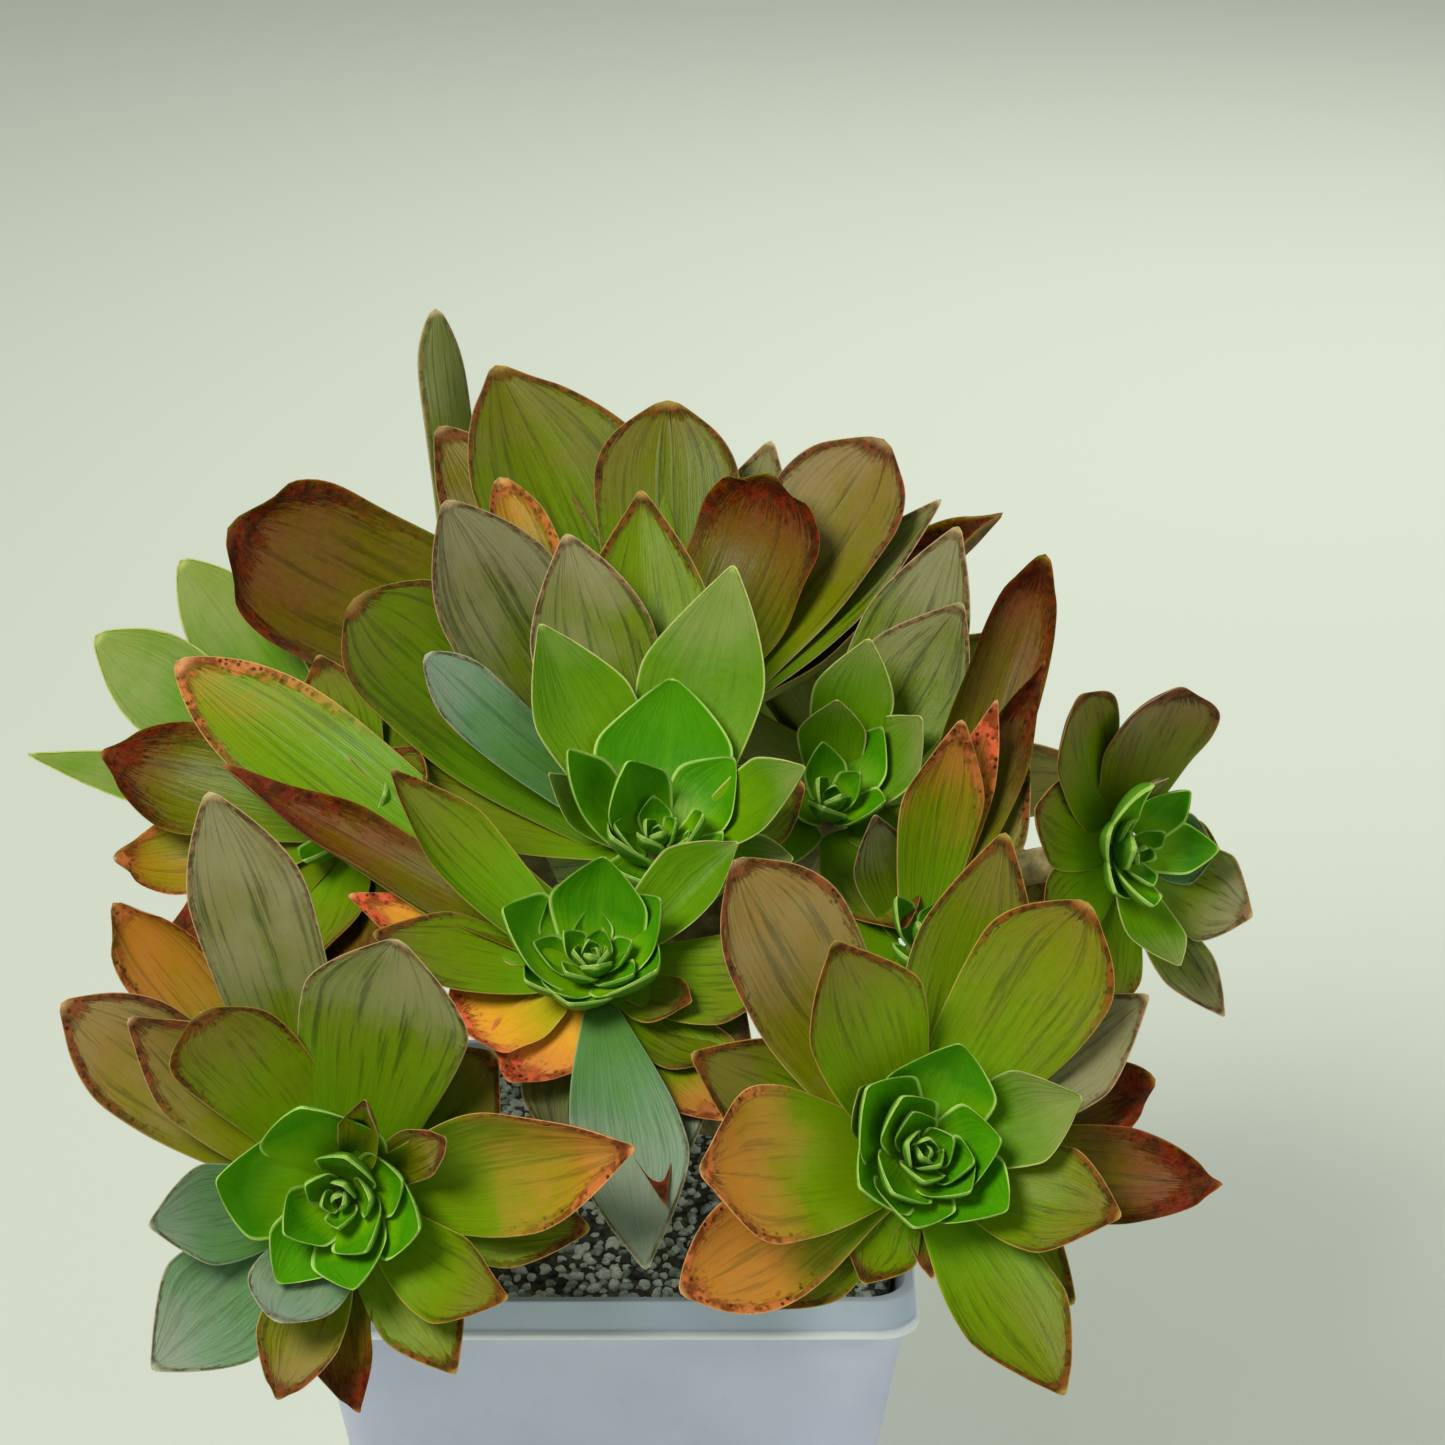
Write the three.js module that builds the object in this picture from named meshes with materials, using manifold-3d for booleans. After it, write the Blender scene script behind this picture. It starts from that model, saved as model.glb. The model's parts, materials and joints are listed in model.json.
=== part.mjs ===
// A branching rosette succulent rooted in a small square nursery pot.
// Millimetres, +Z up, origin at the middle of the pot's base.

import * as THREE from "three";
import { mergeVertices } from "three/addons/utils/BufferGeometryUtils.js";
import Module from "manifold-3d";

const wasm = await Module();
wasm.setup();

// Pot: half widths are from the middle to a flat side.
const POT_HEIGHT = 80;
const POT_HALF_TOP = 45;
const POT_HALF_BASE = 31.5;
const POT_WALL = 1.5;
const POT_CORNER = 6;
const BAND_HEIGHT = 6.4;
const BEAD = 0.8;
const HOLE_RADIUS = 3.5;
const HOLE_FROM_MIDDLE = 17;
const POT_SIDES = 32;
const HOLE_SIDES = 12;

// Potting mix
const MIX_TOP = 77;
const MIX_MOUND = 1.6;
const MIX_MOUND_HALF = 16;
const MIX_EDGE_DROP = 1;
const MIX_EDGE_WIDTH = 3;

// Stem
const STEM_RADIUS = 4.2;
const BRANCH_RADIUS = 2.9;
const STRAIGHT_END = 4.5;
const KNUCKLE_EXTRA = 0.4;
const KNUCKLE_SIDES = 6;
const KNUCKLE_RINGS = 4;
const ROD_STEPS = 4;
const ROD_SIDES = 6;
const STEM_FOOT = [4, 4, 44];
const FORK_LOW = [4, -2, 92];
const FORK_HIGH = [6, 4, 112];

// Leaves
const LEAF_AROUND = 8;
const LEAF_ALONG = 7;
const SPARE_AROUND = 6;
const SPARE_ALONG = 4;
const INNER_AROUND = 5;
const INNER_ALONG = 4;
const WIDEST = 0.66;
const FOOT_WIDTH = 0.46;
const LEAF_THICK = 2.6;
const THICK_AT_FOOT = 1.1;
const THICK_AT_TIP = 0.5;
const LEAF_BOW = 1.5;
const LEAF_CUP = 1.5;
const FOOT_OUT = 5;
const FOOT_DROP = 3;

// Heart of a rosette: a flat disc that carries its small inner leaves
const HEART_RADIUS = 4.5;
const HEART_TOP = -2.5;
const HEART_BASE = -4.5;
const HEART_FOOT_OUT = 1.6;
const SPARE_FOOT_OUT = 3;
const GOLDEN_ANGLE = 137.5;
const DISC_SIDES = 12;

// The innermost leaf's share of the outermost inner leaf's lean, length and width
const INNERMOST_LEAN = 0.46;
const INNERMOST_LONG = 0.67;
const INNERMOST_WIDE = 0.75;
const INNER_BOW = 0.8;

// Room kept between neighbours: as a multiple of the gap, at a leaf's margins and on its faces
const GAP = 0.4;
const MARGIN_SLACK = 3;
const FACE_SLACK = 1.5;
const SMOOTHING = 0.16;
const POLE = 1e-3;

// Colour and roughness of the other pieces
const POT_FINISH = [0xa5acc0, 0.45];
const STEM_FINISH = [0x7a6a4c, 0.8];
const MIX_FINISH = [0x6d716b, 0.95];
const LEAF_ROUGHNESS = 0.5;

const deg = THREE.MathUtils.degToRad;

// Tones of the leaves
const TONES = {
  fresh: 0x6fa321,
  olive: 0x6f7d33,
  bronze: 0x74603a,
  rust: 0x7a4a30,
  blush: 0xb8703c,
  amber: 0x8a7a2c,
  grey: 0x7c8570,
  dusky: 0x5f7064,
};

// A rosette's heart is its middle, "turn" is the compass turn of its axis from
// the front, and "rise" is the axis's angle above the horizontal.
// A leaf's "at" is its clock angle around the axis, "lean" its angle from the
// axis, "bow" how far its middle sinks below the line from foot to tip, and
// "cup" how far its margins stand up.
// "spare" leaves are the ones half hidden between the others. They are one
// piece with the heart.
const ROSETTES = [
  {
    name: "crown", heart: [7, -20, 144], turn: 0, rise: 60, fork: FORK_HIGH,
    inner: { count: 6, long: 17, wide: 11, lean: 34 },
    leaves: [
      { at: 18, lean: 52, long: 40, wide: 20, bow: 2.5, cup: 2.0, tone: "fresh" },
      { at: -34, lean: 52, long: 34, wide: 17, bow: 2.0, cup: 2.0, tone: "fresh" },
      { at: -18, lean: 62, long: 46, wide: 20, bow: 3.0, cup: 2.0, tone: "grey" },
      { at: -3, lean: 72, long: 54, wide: 21, bow: 4.0, cup: 2.0, tone: "olive" },
      { at: 84, lean: 45, long: 24, wide: 14, bow: 1.5, cup: 1.5, tone: "fresh" },
      { at: -32, lean: 72, long: 60, wide: 22, bow: 4.0, cup: 2.5, tone: "grey" },
      { at: -52, lean: 75, long: 56, wide: 26, bow: 3.0, cup: 2.0, tone: "olive" },
    ],
    spare: [
      { at: -60, lean: 60, long: 43, wide: 12 },
      { at: -80, lean: 42, long: 20, wide: 9 },
      { at: -52, lean: 38, long: 16, wide: 7 },
      { at: 102, lean: 80, long: 18, wide: 11 },
      { at: -22, lean: 80, long: 66, wide: 12 },
      { at: -76, lean: 80, long: 46, wide: 17 },
      { at: 62, lean: 88, long: 22, wide: 17 },
    ],
  },
  {
    name: "front", heart: [-2, -45, 135.5], turn: 0, rise: 62, fork: FORK_LOW,
    inner: { count: 6, long: 13, wide: 9, lean: 36 },
    leaves: [
      { at: 50, lean: 70, long: 24, wide: 13, bow: 1.5, cup: 1.5, tone: "fresh" },
      { at: -50, lean: 85, long: 79, wide: 20, bow: 4.0, cup: 2.5, tone: "amber" },
      { at: -60, lean: 82, long: 60, wide: 13, bow: -1.5, cup: 1.5, tone: "rust" },
      { at: -110, lean: 94, long: 18, wide: 20, bow: -1.5, cup: 1.0, tone: "blush" },
      { at: 170, lean: 106, long: 42, wide: 17, bow: -2.0, cup: 1.0, tone: "dusky" },
      { at: 141, lean: 98, long: 26, wide: 18, bow: -1.5, cup: 1.0, tone: "amber" },
      { at: -52, lean: 63, long: 38, wide: 14, bow: 2.0, cup: 1.5, tone: "olive" },
    ],
    spare: [
      { at: -70, lean: 88, long: 36, wide: 12 },
      { at: 120, lean: 75, long: 14, wide: 10 },
      { at: 154, lean: 101, long: 29, wide: 20 },
      { at: -146, lean: 98, long: 19, wide: 16 },
      { at: 164, lean: 98, long: 37, wide: 8 },
      { at: -86, lean: 78, long: 30, wide: 14 },
      { at: 96, lean: 84, long: 26, wide: 17 },
      { at: -172, lean: 112, long: 26, wide: 16 },
      { at: 118, lean: 96, long: 20, wide: 16 },
    ],
  },
  {
    name: "left", heart: [-37.5, -71.5, 110.5], turn: -10, rise: 18, fork: FORK_LOW,
    inner: { count: 6, long: 17, wide: 11, lean: 38 },
    leaves: [
      { at: -100, lean: 60, long: 24, wide: 15, bow: 1.5, cup: 1.5, tone: "dusky" },
      { at: -136, lean: 75, long: 32, wide: 19, bow: 1.0, cup: 1.5, tone: "dusky" },
      { at: -169, lean: 66, long: 27, wide: 14, bow: 1.0, cup: 1.5, tone: "bronze" },
      { at: 172, lean: 80, long: 27, wide: 13, bow: -2.0, cup: 1.5, tone: "rust" },
      { at: 110, lean: 60, long: 28, wide: 15, bow: -1.5, cup: 1.5, tone: "olive" },
      { at: 15, lean: 60, long: 42, wide: 25, bow: 2.0, cup: 2.0, tone: "grey" },
      { at: -18, lean: 75, long: 58, wide: 18, bow: 3.0, cup: 2.0, tone: "grey" },
      { at: -34, lean: 60, long: 32, wide: 18, bow: 2.0, cup: 1.5, tone: "olive" },
      { at: -58, lean: 80, long: 44, wide: 19, bow: 2.0, cup: 1.5, tone: "bronze" },
      { at: 74, lean: 70, long: 44, wide: 21, bow: 1.5, cup: 1.5, tone: "amber" },
    ],
    spare: [
      { at: -40, lean: 86, long: 52, wide: 16 },
      { at: -50, lean: 71, long: 38, wide: 17 },
      { at: 22, lean: 38, long: 25, wide: 8 },
      { at: 56, lean: 50, long: 24, wide: 8 },
      { at: -160, lean: 46, long: 20, wide: 14 },
      { at: 140, lean: 74, long: 28, wide: 14 },
      { at: 92, lean: 84, long: 34, wide: 16 },
      { at: 0, lean: 92, long: 30, wide: 18 },
      { at: 44, lean: 82, long: 38, wide: 20 },
    ],
  },
  {
    name: "right", heart: [45, -64.5, 114], turn: 15, rise: 36, fork: FORK_LOW,
    inner: { count: 6, long: 15, wide: 10, lean: 36 },
    leaves: [
      { at: 80, lean: 50, long: 22, wide: 15, bow: 1.0, cup: 1.5, tone: "fresh" },
      { at: 120, lean: 58, long: 27, wide: 17, bow: 1.0, cup: 1.5, tone: "olive" },
      { at: 160, lean: 75, long: 36, wide: 18, bow: -1.5, cup: 1.5, tone: "olive" },
      { at: -112, lean: 80, long: 38, wide: 18, bow: -1.5, cup: 1.5, tone: "amber" },
      { at: -91, lean: 61, long: 36, wide: 24, bow: 1.0, cup: 2.0, tone: "amber" },
      { at: -24, lean: 52, long: 34, wide: 20, bow: 2.0, cup: 2.0, tone: "olive" },
      { at: -30, lean: 68, long: 48, wide: 22, bow: 2.5, cup: 2.0, tone: "bronze" },
      { at: 40, lean: 62, long: 40, wide: 22, bow: 2.5, cup: 2.0, tone: "olive" },
      { at: 63, lean: 71, long: 36, wide: 16, bow: 1.5, cup: 1.5, tone: "grey" },
      { at: 104, lean: 80, long: 40, wide: 17, bow: 1.5, cup: 1.5, tone: "rust" },
    ],
    spare: [
      { at: 80, lean: 88, long: 35, wide: 15 },
      { at: -176, lean: 84, long: 15, wide: 5 },
      { at: -146, lean: 84, long: 18, wide: 12 },
      { at: 22, lean: 76, long: 46, wide: 18 },
      { at: -48, lean: 42, long: 16, wide: 9 },
      { at: -124, lean: 90, long: 30, wide: 16 },
      { at: -60, lean: 84, long: 34, wide: 17 },
      { at: 140, lean: 92, long: 28, wide: 15 },
    ],
  },
  {
    name: "side", heart: [78, -21, 142], turn: 34, rise: 18, fork: FORK_HIGH,
    inner: { count: 6, long: 14, wide: 9, lean: 38 },
    leaves: [
      { at: 8, lean: 52, long: 25, wide: 20, bow: 1.0, cup: 1.5, tone: "bronze" },
      { at: -30, lean: 58, long: 31, wide: 15, bow: 1.5, cup: 1.5, tone: "olive" },
      { at: 167, lean: 68, long: 24, wide: 10, bow: 1.0, cup: 1.5, tone: "grey" },
      { at: 132, lean: 60, long: 17, wide: 15, bow: 1.0, cup: 1.5, tone: "grey" },
    ],
    spare: [
      { at: 102, lean: 52, long: 11, wide: 11 },
      { at: -168, lean: 46, long: 19, wide: 11 },
      { at: -4, lean: 30, long: 17, wide: 6 },
      { at: -62, lean: 66, long: 24, wide: 14 },
      { at: -110, lean: 70, long: 22, wide: 13 },
      { at: 112, lean: 76, long: 14, wide: 14 },
      { at: -150, lean: 80, long: 24, wide: 14 },
    ],
  },
  {
    name: "middle", heart: [33, 0, 141], turn: 10, rise: 55, fork: FORK_HIGH,
    inner: { count: 5, long: 16, wide: 8, lean: 30 },
    leaves: [
      { at: 42, lean: 58, long: 34, wide: 18, bow: 1.5, cup: 1.5, tone: "grey" },
    ],
    spare: [
      { at: 20, lean: 40, long: 26, wide: 13 },
      { at: 6, lean: 28, long: 17, wide: 11 },
      { at: 62, lean: 42, long: 19, wide: 12 },
      { at: 32, lean: 66, long: 47, wide: 17 },
      { at: 120, lean: 66, long: 22, wide: 13 },
      { at: -120, lean: 62, long: 18, wide: 12 },
      { at: 165, lean: 75, long: 24, wide: 15 },
    ],
  },
  {
    name: "top", heart: [8, 18, 148], turn: 0, rise: 78, fork: FORK_HIGH,
    inner: { count: 6, long: 20, wide: 12, lean: 34 },
    leaves: [
      { at: -29, lean: 55, long: 64, wide: 30, bow: 3.0, cup: 3.0, tone: "olive" },
      { at: 0, lean: 50, long: 52, wide: 24, bow: 3.0, cup: 2.0, tone: "olive" },
      { at: 46, lean: 52, long: 54, wide: 27, bow: 3.0, cup: 2.0, tone: "bronze" },
      { at: -82, lean: 66, long: 73, wide: 30, bow: 4.0, cup: 2.5, tone: "rust" },
      { at: 34, lean: 45, long: 42, wide: 25, bow: 3.0, cup: 2.0, tone: "rust" },
      { at: 64, lean: 66, long: 59, wide: 20, bow: 2.0, cup: 2.0, tone: "rust" },
    ],
    spare: [
      { at: -40, lean: 62, long: 62, wide: 22 },
      { at: 20, lean: 60, long: 52, wide: 18 },
      { at: -80, lean: 74, long: 58, wide: 20 },
      { at: 62, lean: 58, long: 54, wide: 15 },
      { at: -20, lean: 80, long: 38, wide: 19 },
      { at: 26, lean: 80, long: 38, wide: 19 },
    ],
  },
];

// Rosettes that stay one piece here: heart and leaves grown together.
const WHOLE_ROSETTES = [
  {
    name: "between", heart: [47, -19, 127], turn: 35, rise: 62, fork: FORK_HIGH, tone: "rust",
    inner: { count: 5, long: 12, wide: 8, lean: 34 },
    leaves: [
      { at: 28, lean: 36, long: 34, wide: 13 },
      { at: 40, lean: 41, long: 38, wide: 8 },
      { at: 58, lean: 50, long: 31, wide: 11 },
      { at: 58, lean: 62, long: 18, wide: 8 },
      { at: 42, lean: 56, long: 64, wide: 17 },
      { at: 49, lean: 48, long: 47, wide: 11 },
      { at: -10, lean: 45, long: 20, wide: 12 },
      { at: -60, lean: 70, long: 22, wide: 13 },
      { at: -110, lean: 76, long: 26, wide: 14 },
      { at: 160, lean: 82, long: 26, wide: 14 },
      { at: 110, lean: 80, long: 24, wide: 14 },
      { at: 80, lean: 78, long: 24, wide: 14 },
    ],
  },
  {
    name: "far_left", heart: [-40, -8, 143], turn: -50, rise: 40, fork: FORK_HIGH, tone: "rust",
    inner: { count: 5, long: 15, wide: 10, lean: 34 },
    leaves: [
      { at: -84, lean: 70, long: 55, wide: 16 },
      { at: -66, lean: 75, long: 55, wide: 15 },
      { at: -106, lean: 62, long: 41, wide: 20 },
      { at: -104, lean: 78, long: 62, wide: 9 },
      { at: -130, lean: 74, long: 38, wide: 18 },
      { at: -40, lean: 66, long: 24, wide: 16 },
      { at: 8, lean: 80, long: 20, wide: 14 },
      { at: 60, lean: 66, long: 18, wide: 15 },
      { at: -158, lean: 74, long: 34, wide: 17 },
      { at: 150, lean: 70, long: 30, wide: 16 },
      { at: 130, lean: 78, long: 32, wide: 18 },
    ],
  },
  {
    name: "back_left", heart: [-26, 48, 136], turn: -152, rise: 28, fork: FORK_LOW, tone: "bronze",
    inner: { count: 6, long: 18, wide: 12, lean: 38 },
    leaves: [
      { at: -7, lean: 43, long: 66, wide: 13 },
      { at: 34, lean: 60, long: 40, wide: 19 },
      { at: 72, lean: 66, long: 44, wide: 21 },
      { at: 118, lean: 70, long: 40, wide: 20 },
      { at: 166, lean: 74, long: 38, wide: 19 },
      { at: -142, lean: 70, long: 42, wide: 20 },
      { at: -92, lean: 66, long: 44, wide: 21 },
      { at: -42, lean: 60, long: 42, wide: 20 },
      { at: -68, lean: 84, long: 44, wide: 19 },
      { at: 142, lean: 86, long: 40, wide: 18 },
    ],
  },
  {
    name: "back_right", heart: [40, 40, 130], turn: 148, rise: 30, fork: FORK_LOW, tone: "olive",
    inner: { count: 6, long: 18, wide: 12, lean: 38 },
    leaves: [
      { at: 0, lean: 58, long: 40, wide: 21 },
      { at: 50, lean: 64, long: 42, wide: 21 },
      { at: 102, lean: 70, long: 42, wide: 20 },
      { at: 154, lean: 74, long: 38, wide: 19 },
      { at: -150, lean: 72, long: 38, wide: 19 },
      { at: -98, lean: 66, long: 40, wide: 20 },
      { at: -50, lean: 62, long: 40, wide: 21 },
      { at: 78, lean: 86, long: 44, wide: 18 },
      { at: -124, lean: 88, long: 40, wide: 18 },
    ],
  },
  {
    name: "back_low", heart: [8, 60, 112], turn: 178, rise: 12, fork: FORK_LOW, tone: "olive",
    inner: { count: 5, long: 16, wide: 11, lean: 38 },
    leaves: [
      { at: -36, lean: 60, long: 30, wide: 18 },
      { at: 14, lean: 64, long: 32, wide: 18 },
      { at: 66, lean: 68, long: 34, wide: 19 },
      { at: 112, lean: 72, long: 32, wide: 18 },
      { at: 160, lean: 70, long: 28, wide: 17 },
      { at: -146, lean: 72, long: 30, wide: 18 },
      { at: -92, lean: 68, long: 34, wide: 19 },
    ],
  },
];

// ---- solids -------------------------------------------------------------

function solidOf(geometry) {
  const bare = geometry.index ? geometry.clone() : geometry;
  bare.deleteAttribute("normal");
  bare.deleteAttribute("uv");
  const merged = mergeVertices(bare, 1e-4);
  return new wasm.Manifold(new wasm.Mesh({
    numProp: 3,
    vertProperties: Float32Array.from(merged.attributes.position.array),
    triVerts: Uint32Array.from(merged.index.array),
  }));
}

function geometryOf(solid) {
  const mesh = solid.getMesh();
  const geometry = new THREE.BufferGeometry();
  geometry.setAttribute("position", new THREE.BufferAttribute(mesh.vertProperties, 3));
  geometry.setIndex(new THREE.BufferAttribute(mesh.triVerts, 1));
  geometry.computeVertexNormals();
  return geometry;
}

function joined(solids) {
  return solids.reduce((whole, solid) => whole.add(solid));
}

function apart(a, b) {
  const one = a.boundingBox();
  const two = b.boundingBox();
  return [0, 1, 2].some((k) => one.min[k] > two.max[k] || two.min[k] > one.max[k]);
}

function largestBody(solid) {
  return solid.decompose().reduce((a, b) => (b.volume() > a.volume() ? b : a));
}

// What is left of a solid once its neighbours are taken away
function trimmed(solid, cutters) {
  let left = solid;
  for (const cutter of cutters) {
    if (!apart(left, cutter)) {
      left = left.subtract(cutter);
    }
  }
  return largestBody(largestBody(left).simplify(SMOOTHING));
}

function mesh(name, geometry, colour, roughness) {
  const material = new THREE.MeshStandardMaterial({ color: colour, roughness, metalness: 0 });
  const made = new THREE.Mesh(geometry, material);
  made.name = name;
  return made;
}

// ---- pot and potting mix ------------------------------------------------

// Distance from the middle to a rounded square of half width 1, at an angle
function squareReach(angle, corner) {
  const x = Math.abs(Math.cos(angle));
  const y = Math.abs(Math.sin(angle));
  const flat = 1 - corner;
  const reach = 1 / Math.max(x, y);
  if (reach * Math.min(x, y) <= flat) {
    return reach;
  }
  const along = flat * (x + y);
  return along + Math.sqrt(along * along - 2 * flat * flat + corner * corner);
}

// A square body turned from a profile of [half width, height] pairs
function squareBody(profile) {
  const points = profile.map(([half, height]) => new THREE.Vector2(half, height));
  const geometry = new THREE.LatheGeometry(points, POT_SIDES);
  geometry.rotateX(Math.PI / 2);
  const position = geometry.attributes.position;
  for (let i = 0; i < position.count; i += 1) {
    const x = position.getX(i);
    const y = position.getY(i);
    const half = Math.hypot(x, y);
    const reach = half > 1e-6 ? squareReach(Math.atan2(y, x), POT_CORNER / POT_HALF_TOP) : 1;
    position.setXY(i, x * reach, y * reach);
  }
  return geometry;
}

function potSolid() {
  const bandFoot = POT_HEIGHT - BAND_HEIGHT;
  const slope = (POT_HALF_TOP - POT_HALF_BASE) / POT_HEIGHT;
  const halfAt = (height) => POT_HALF_BASE + slope * height;
  const body = solidOf(squareBody([
    [0, 0],
    [POT_HALF_BASE, 0],
    [halfAt(bandFoot), bandFoot],
    [POT_HALF_TOP + BEAD, bandFoot + BEAD / 2],
    [POT_HALF_TOP + BEAD, bandFoot + BEAD * 1.5],
    [POT_HALF_TOP, bandFoot + BEAD * 2],
    [POT_HALF_TOP, POT_HEIGHT],
    [POT_HALF_TOP - POT_WALL, POT_HEIGHT],
    [halfAt(bandFoot) - POT_WALL, bandFoot],
    [POT_HALF_BASE - POT_WALL, POT_WALL],
    [0, POT_WALL],
  ]));
  const holes = [-1, 1].flatMap((x) => [-1, 1].map((y) => {
    const hole = new THREE.CylinderGeometry(HOLE_RADIUS, HOLE_RADIUS, 4 * POT_WALL, HOLE_SIDES);
    hole.rotateX(Math.PI / 2);
    hole.translate(x * HOLE_FROM_MIDDLE, y * HOLE_FROM_MIDDLE, 0);
    return solidOf(hole);
  }));
  return holes.reduce((pot, hole) => pot.subtract(hole), body);
}

function mixSolid() {
  const slope = (POT_HALF_TOP - POT_HALF_BASE) / POT_HEIGHT;
  const halfAt = (height) => POT_HALF_BASE + slope * height - POT_WALL - GAP;
  const floor = POT_WALL + GAP;
  const bandFoot = POT_HEIGHT - BAND_HEIGHT;
  const topHalf = halfAt(bandFoot);
  return solidOf(squareBody([
    [0, floor],
    [halfAt(floor), floor],
    [topHalf, bandFoot],
    [topHalf, MIX_TOP - MIX_EDGE_DROP],
    [topHalf - MIX_EDGE_WIDTH, MIX_TOP],
    [MIX_MOUND_HALF, MIX_TOP + MIX_MOUND],
    [0, MIX_TOP + MIX_MOUND],
  ]));
}

// ---- stem ---------------------------------------------------------------

// A round rod along a smooth path through the points
function rod(points, radius) {
  const outline = new THREE.Shape();
  outline.absarc(0, 0, radius, 0, 2 * Math.PI);
  const path = new THREE.CatmullRomCurve3(points.map((point) => new THREE.Vector3(...point)));
  return solidOf(new THREE.ExtrudeGeometry(outline, {
    steps: ROD_STEPS, curveSegments: ROD_SIDES, extrudePath: path,
  }));
}

function knuckle(point, radius) {
  return solidOf(new THREE.SphereGeometry(radius, KNUCKLE_SIDES, KNUCKLE_RINGS).translate(...point));
}

function axisOf(rosette) {
  const turn = deg(rosette.turn);
  const rise = deg(rosette.rise);
  return new THREE.Vector3(
    Math.sin(turn) * Math.cos(rise),
    -Math.cos(turn) * Math.cos(rise),
    Math.sin(rise),
  );
}

// One branch runs from its fork to just below a heart's disc, along the axis
function branchSolid(rosette, slack) {
  const axis = axisOf(rosette);
  const heart = new THREE.Vector3(...rosette.heart);
  const end = heart.clone().addScaledVector(axis, HEART_BASE - GAP);
  const before = heart.clone().addScaledVector(axis, HEART_BASE - GAP - STRAIGHT_END);
  const fork = new THREE.Vector3(...rosette.fork);
  const path = [fork.toArray(), before.toArray(), end.toArray()];
  return rod(path, BRANCH_RADIUS + slack).add(knuckle(rosette.fork, BRANCH_RADIUS + KNUCKLE_EXTRA + slack));
}

function stemSolid(rosettes, slack) {
  const trunk = rod([STEM_FOOT, FORK_LOW, FORK_HIGH], STEM_RADIUS + slack);
  return joined([trunk, ...rosettes.map((rosette) => branchSolid(rosette, slack))]);
}

// ---- leaves -------------------------------------------------------------

// Share of the full width at a share t of the length, 0 at the foot and 1 at the tip
function widthShare(t) {
  if (t < WIDEST) {
    return FOOT_WIDTH + (1 - FOOT_WIDTH) * Math.sin((Math.PI / 2) * (t / WIDEST)) ** 1.4;
  }
  return 1 - ((t - WIDEST) / (1 - WIDEST)) ** 2.4;
}

// A fleshy leaf along +Y from its foot at the origin, its upper face to +Z.
// The slack makes it bigger all round, and most at its thin margins.
function leafGeometry(leaf, slack) {
  const geometry = new THREE.SphereGeometry(1, leaf.around ?? LEAF_AROUND, leaf.along ?? LEAF_ALONG);
  const position = geometry.attributes.position;
  const edge = MARGIN_SLACK * slack;
  for (let i = 0; i < position.count; i += 1) {
    const polar = Math.acos(THREE.MathUtils.clamp(position.getY(i), -1, 1));
    const t = 1 - polar / Math.PI;
    const pole = Math.min(polar, Math.PI - polar) < POLE;
    const ring = pole ? 1 : Math.sin(polar);
    const side = pole ? 0 : position.getX(i) / ring;
    const up = pole ? 0 : position.getZ(i) / ring;
    const across = side * (widthShare(t) * leaf.wide / 2 + edge);
    const half = (LEAF_THICK / 2) * THREE.MathUtils.lerp(THICK_AT_FOOT, THICK_AT_TIP, t);
    const thick = up * (half + FACE_SLACK * slack);
    const sag = -4 * (leaf.bow ?? LEAF_BOW) * t * (1 - t);
    const raised = (leaf.cup ?? LEAF_CUP) * widthShare(t) * side * side;
    position.setXYZ(i, across, (leaf.long + 2 * edge) * t - edge, sag + raised + thick);
  }
  return geometry;
}

// The leaf's place in its rosette
function leafPlace(leaf) {
  const turn = deg(leaf.at);
  const place = new THREE.Object3D();
  place.rotation.set(deg(90 - leaf.lean), 0, -turn, "ZXY");
  const out = leaf.footOut ?? FOOT_OUT;
  place.position.set(out * Math.sin(turn), out * Math.cos(turn), -FOOT_DROP);
  place.updateMatrix();
  return place.matrix;
}

function rosettePlace(rosette) {
  const place = new THREE.Object3D();
  place.rotation.set(deg(90 - rosette.rise), 0, deg(rosette.turn), "ZXY");
  place.position.set(...rosette.heart);
  place.updateMatrix();
  return place.matrix;
}

function leafSolid(rosette, leaf, slack) {
  const matrix = rosettePlace(rosette).multiply(leafPlace(leaf));
  return solidOf(leafGeometry(leaf, slack).applyMatrix4(matrix));
}

// The small inner leaves stand in one spiral on a flat disc
function heartSolid(rosette, slack) {
  const { count, long, wide, lean } = rosette.inner;
  const thickness = HEART_TOP - HEART_BASE + slack;
  const radius = HEART_RADIUS + slack;
  const disc = new THREE.CylinderGeometry(radius, radius, thickness, DISC_SIDES);
  disc.rotateX(Math.PI / 2);
  disc.translate(0, 0, HEART_BASE + thickness / 2);
  const spiral = Array.from({ length: count }, (_, i) => leafSolid(rosette, {
    at: GOLDEN_ANGLE * i,
    lean: lean * THREE.MathUtils.lerp(INNERMOST_LEAN, 1, i / (count - 1)),
    long: long * THREE.MathUtils.lerp(INNERMOST_LONG, 1, i / (count - 1)),
    wide: wide * THREE.MathUtils.lerp(INNERMOST_WIDE, 1, i / (count - 1)),
    bow: INNER_BOW,
    cup: INNER_BOW,
    footOut: HEART_FOOT_OUT,
    around: INNER_AROUND,
    along: INNER_ALONG,
  }, slack));
  return joined([solidOf(disc.applyMatrix4(rosettePlace(rosette))), ...spiral]);
}

// A heart with its small inner leaves and all the leaves that stay one piece with it
function rosetteSolid(rosette, leaves, slack) {
  const grown = leaves.map((leaf) => leafSolid(rosette, {
    ...leaf, footOut: SPARE_FOOT_OUT, around: SPARE_AROUND, along: SPARE_ALONG,
  }, slack));
  return joined([heartSolid(rosette, slack), ...grown]);
}

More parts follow.
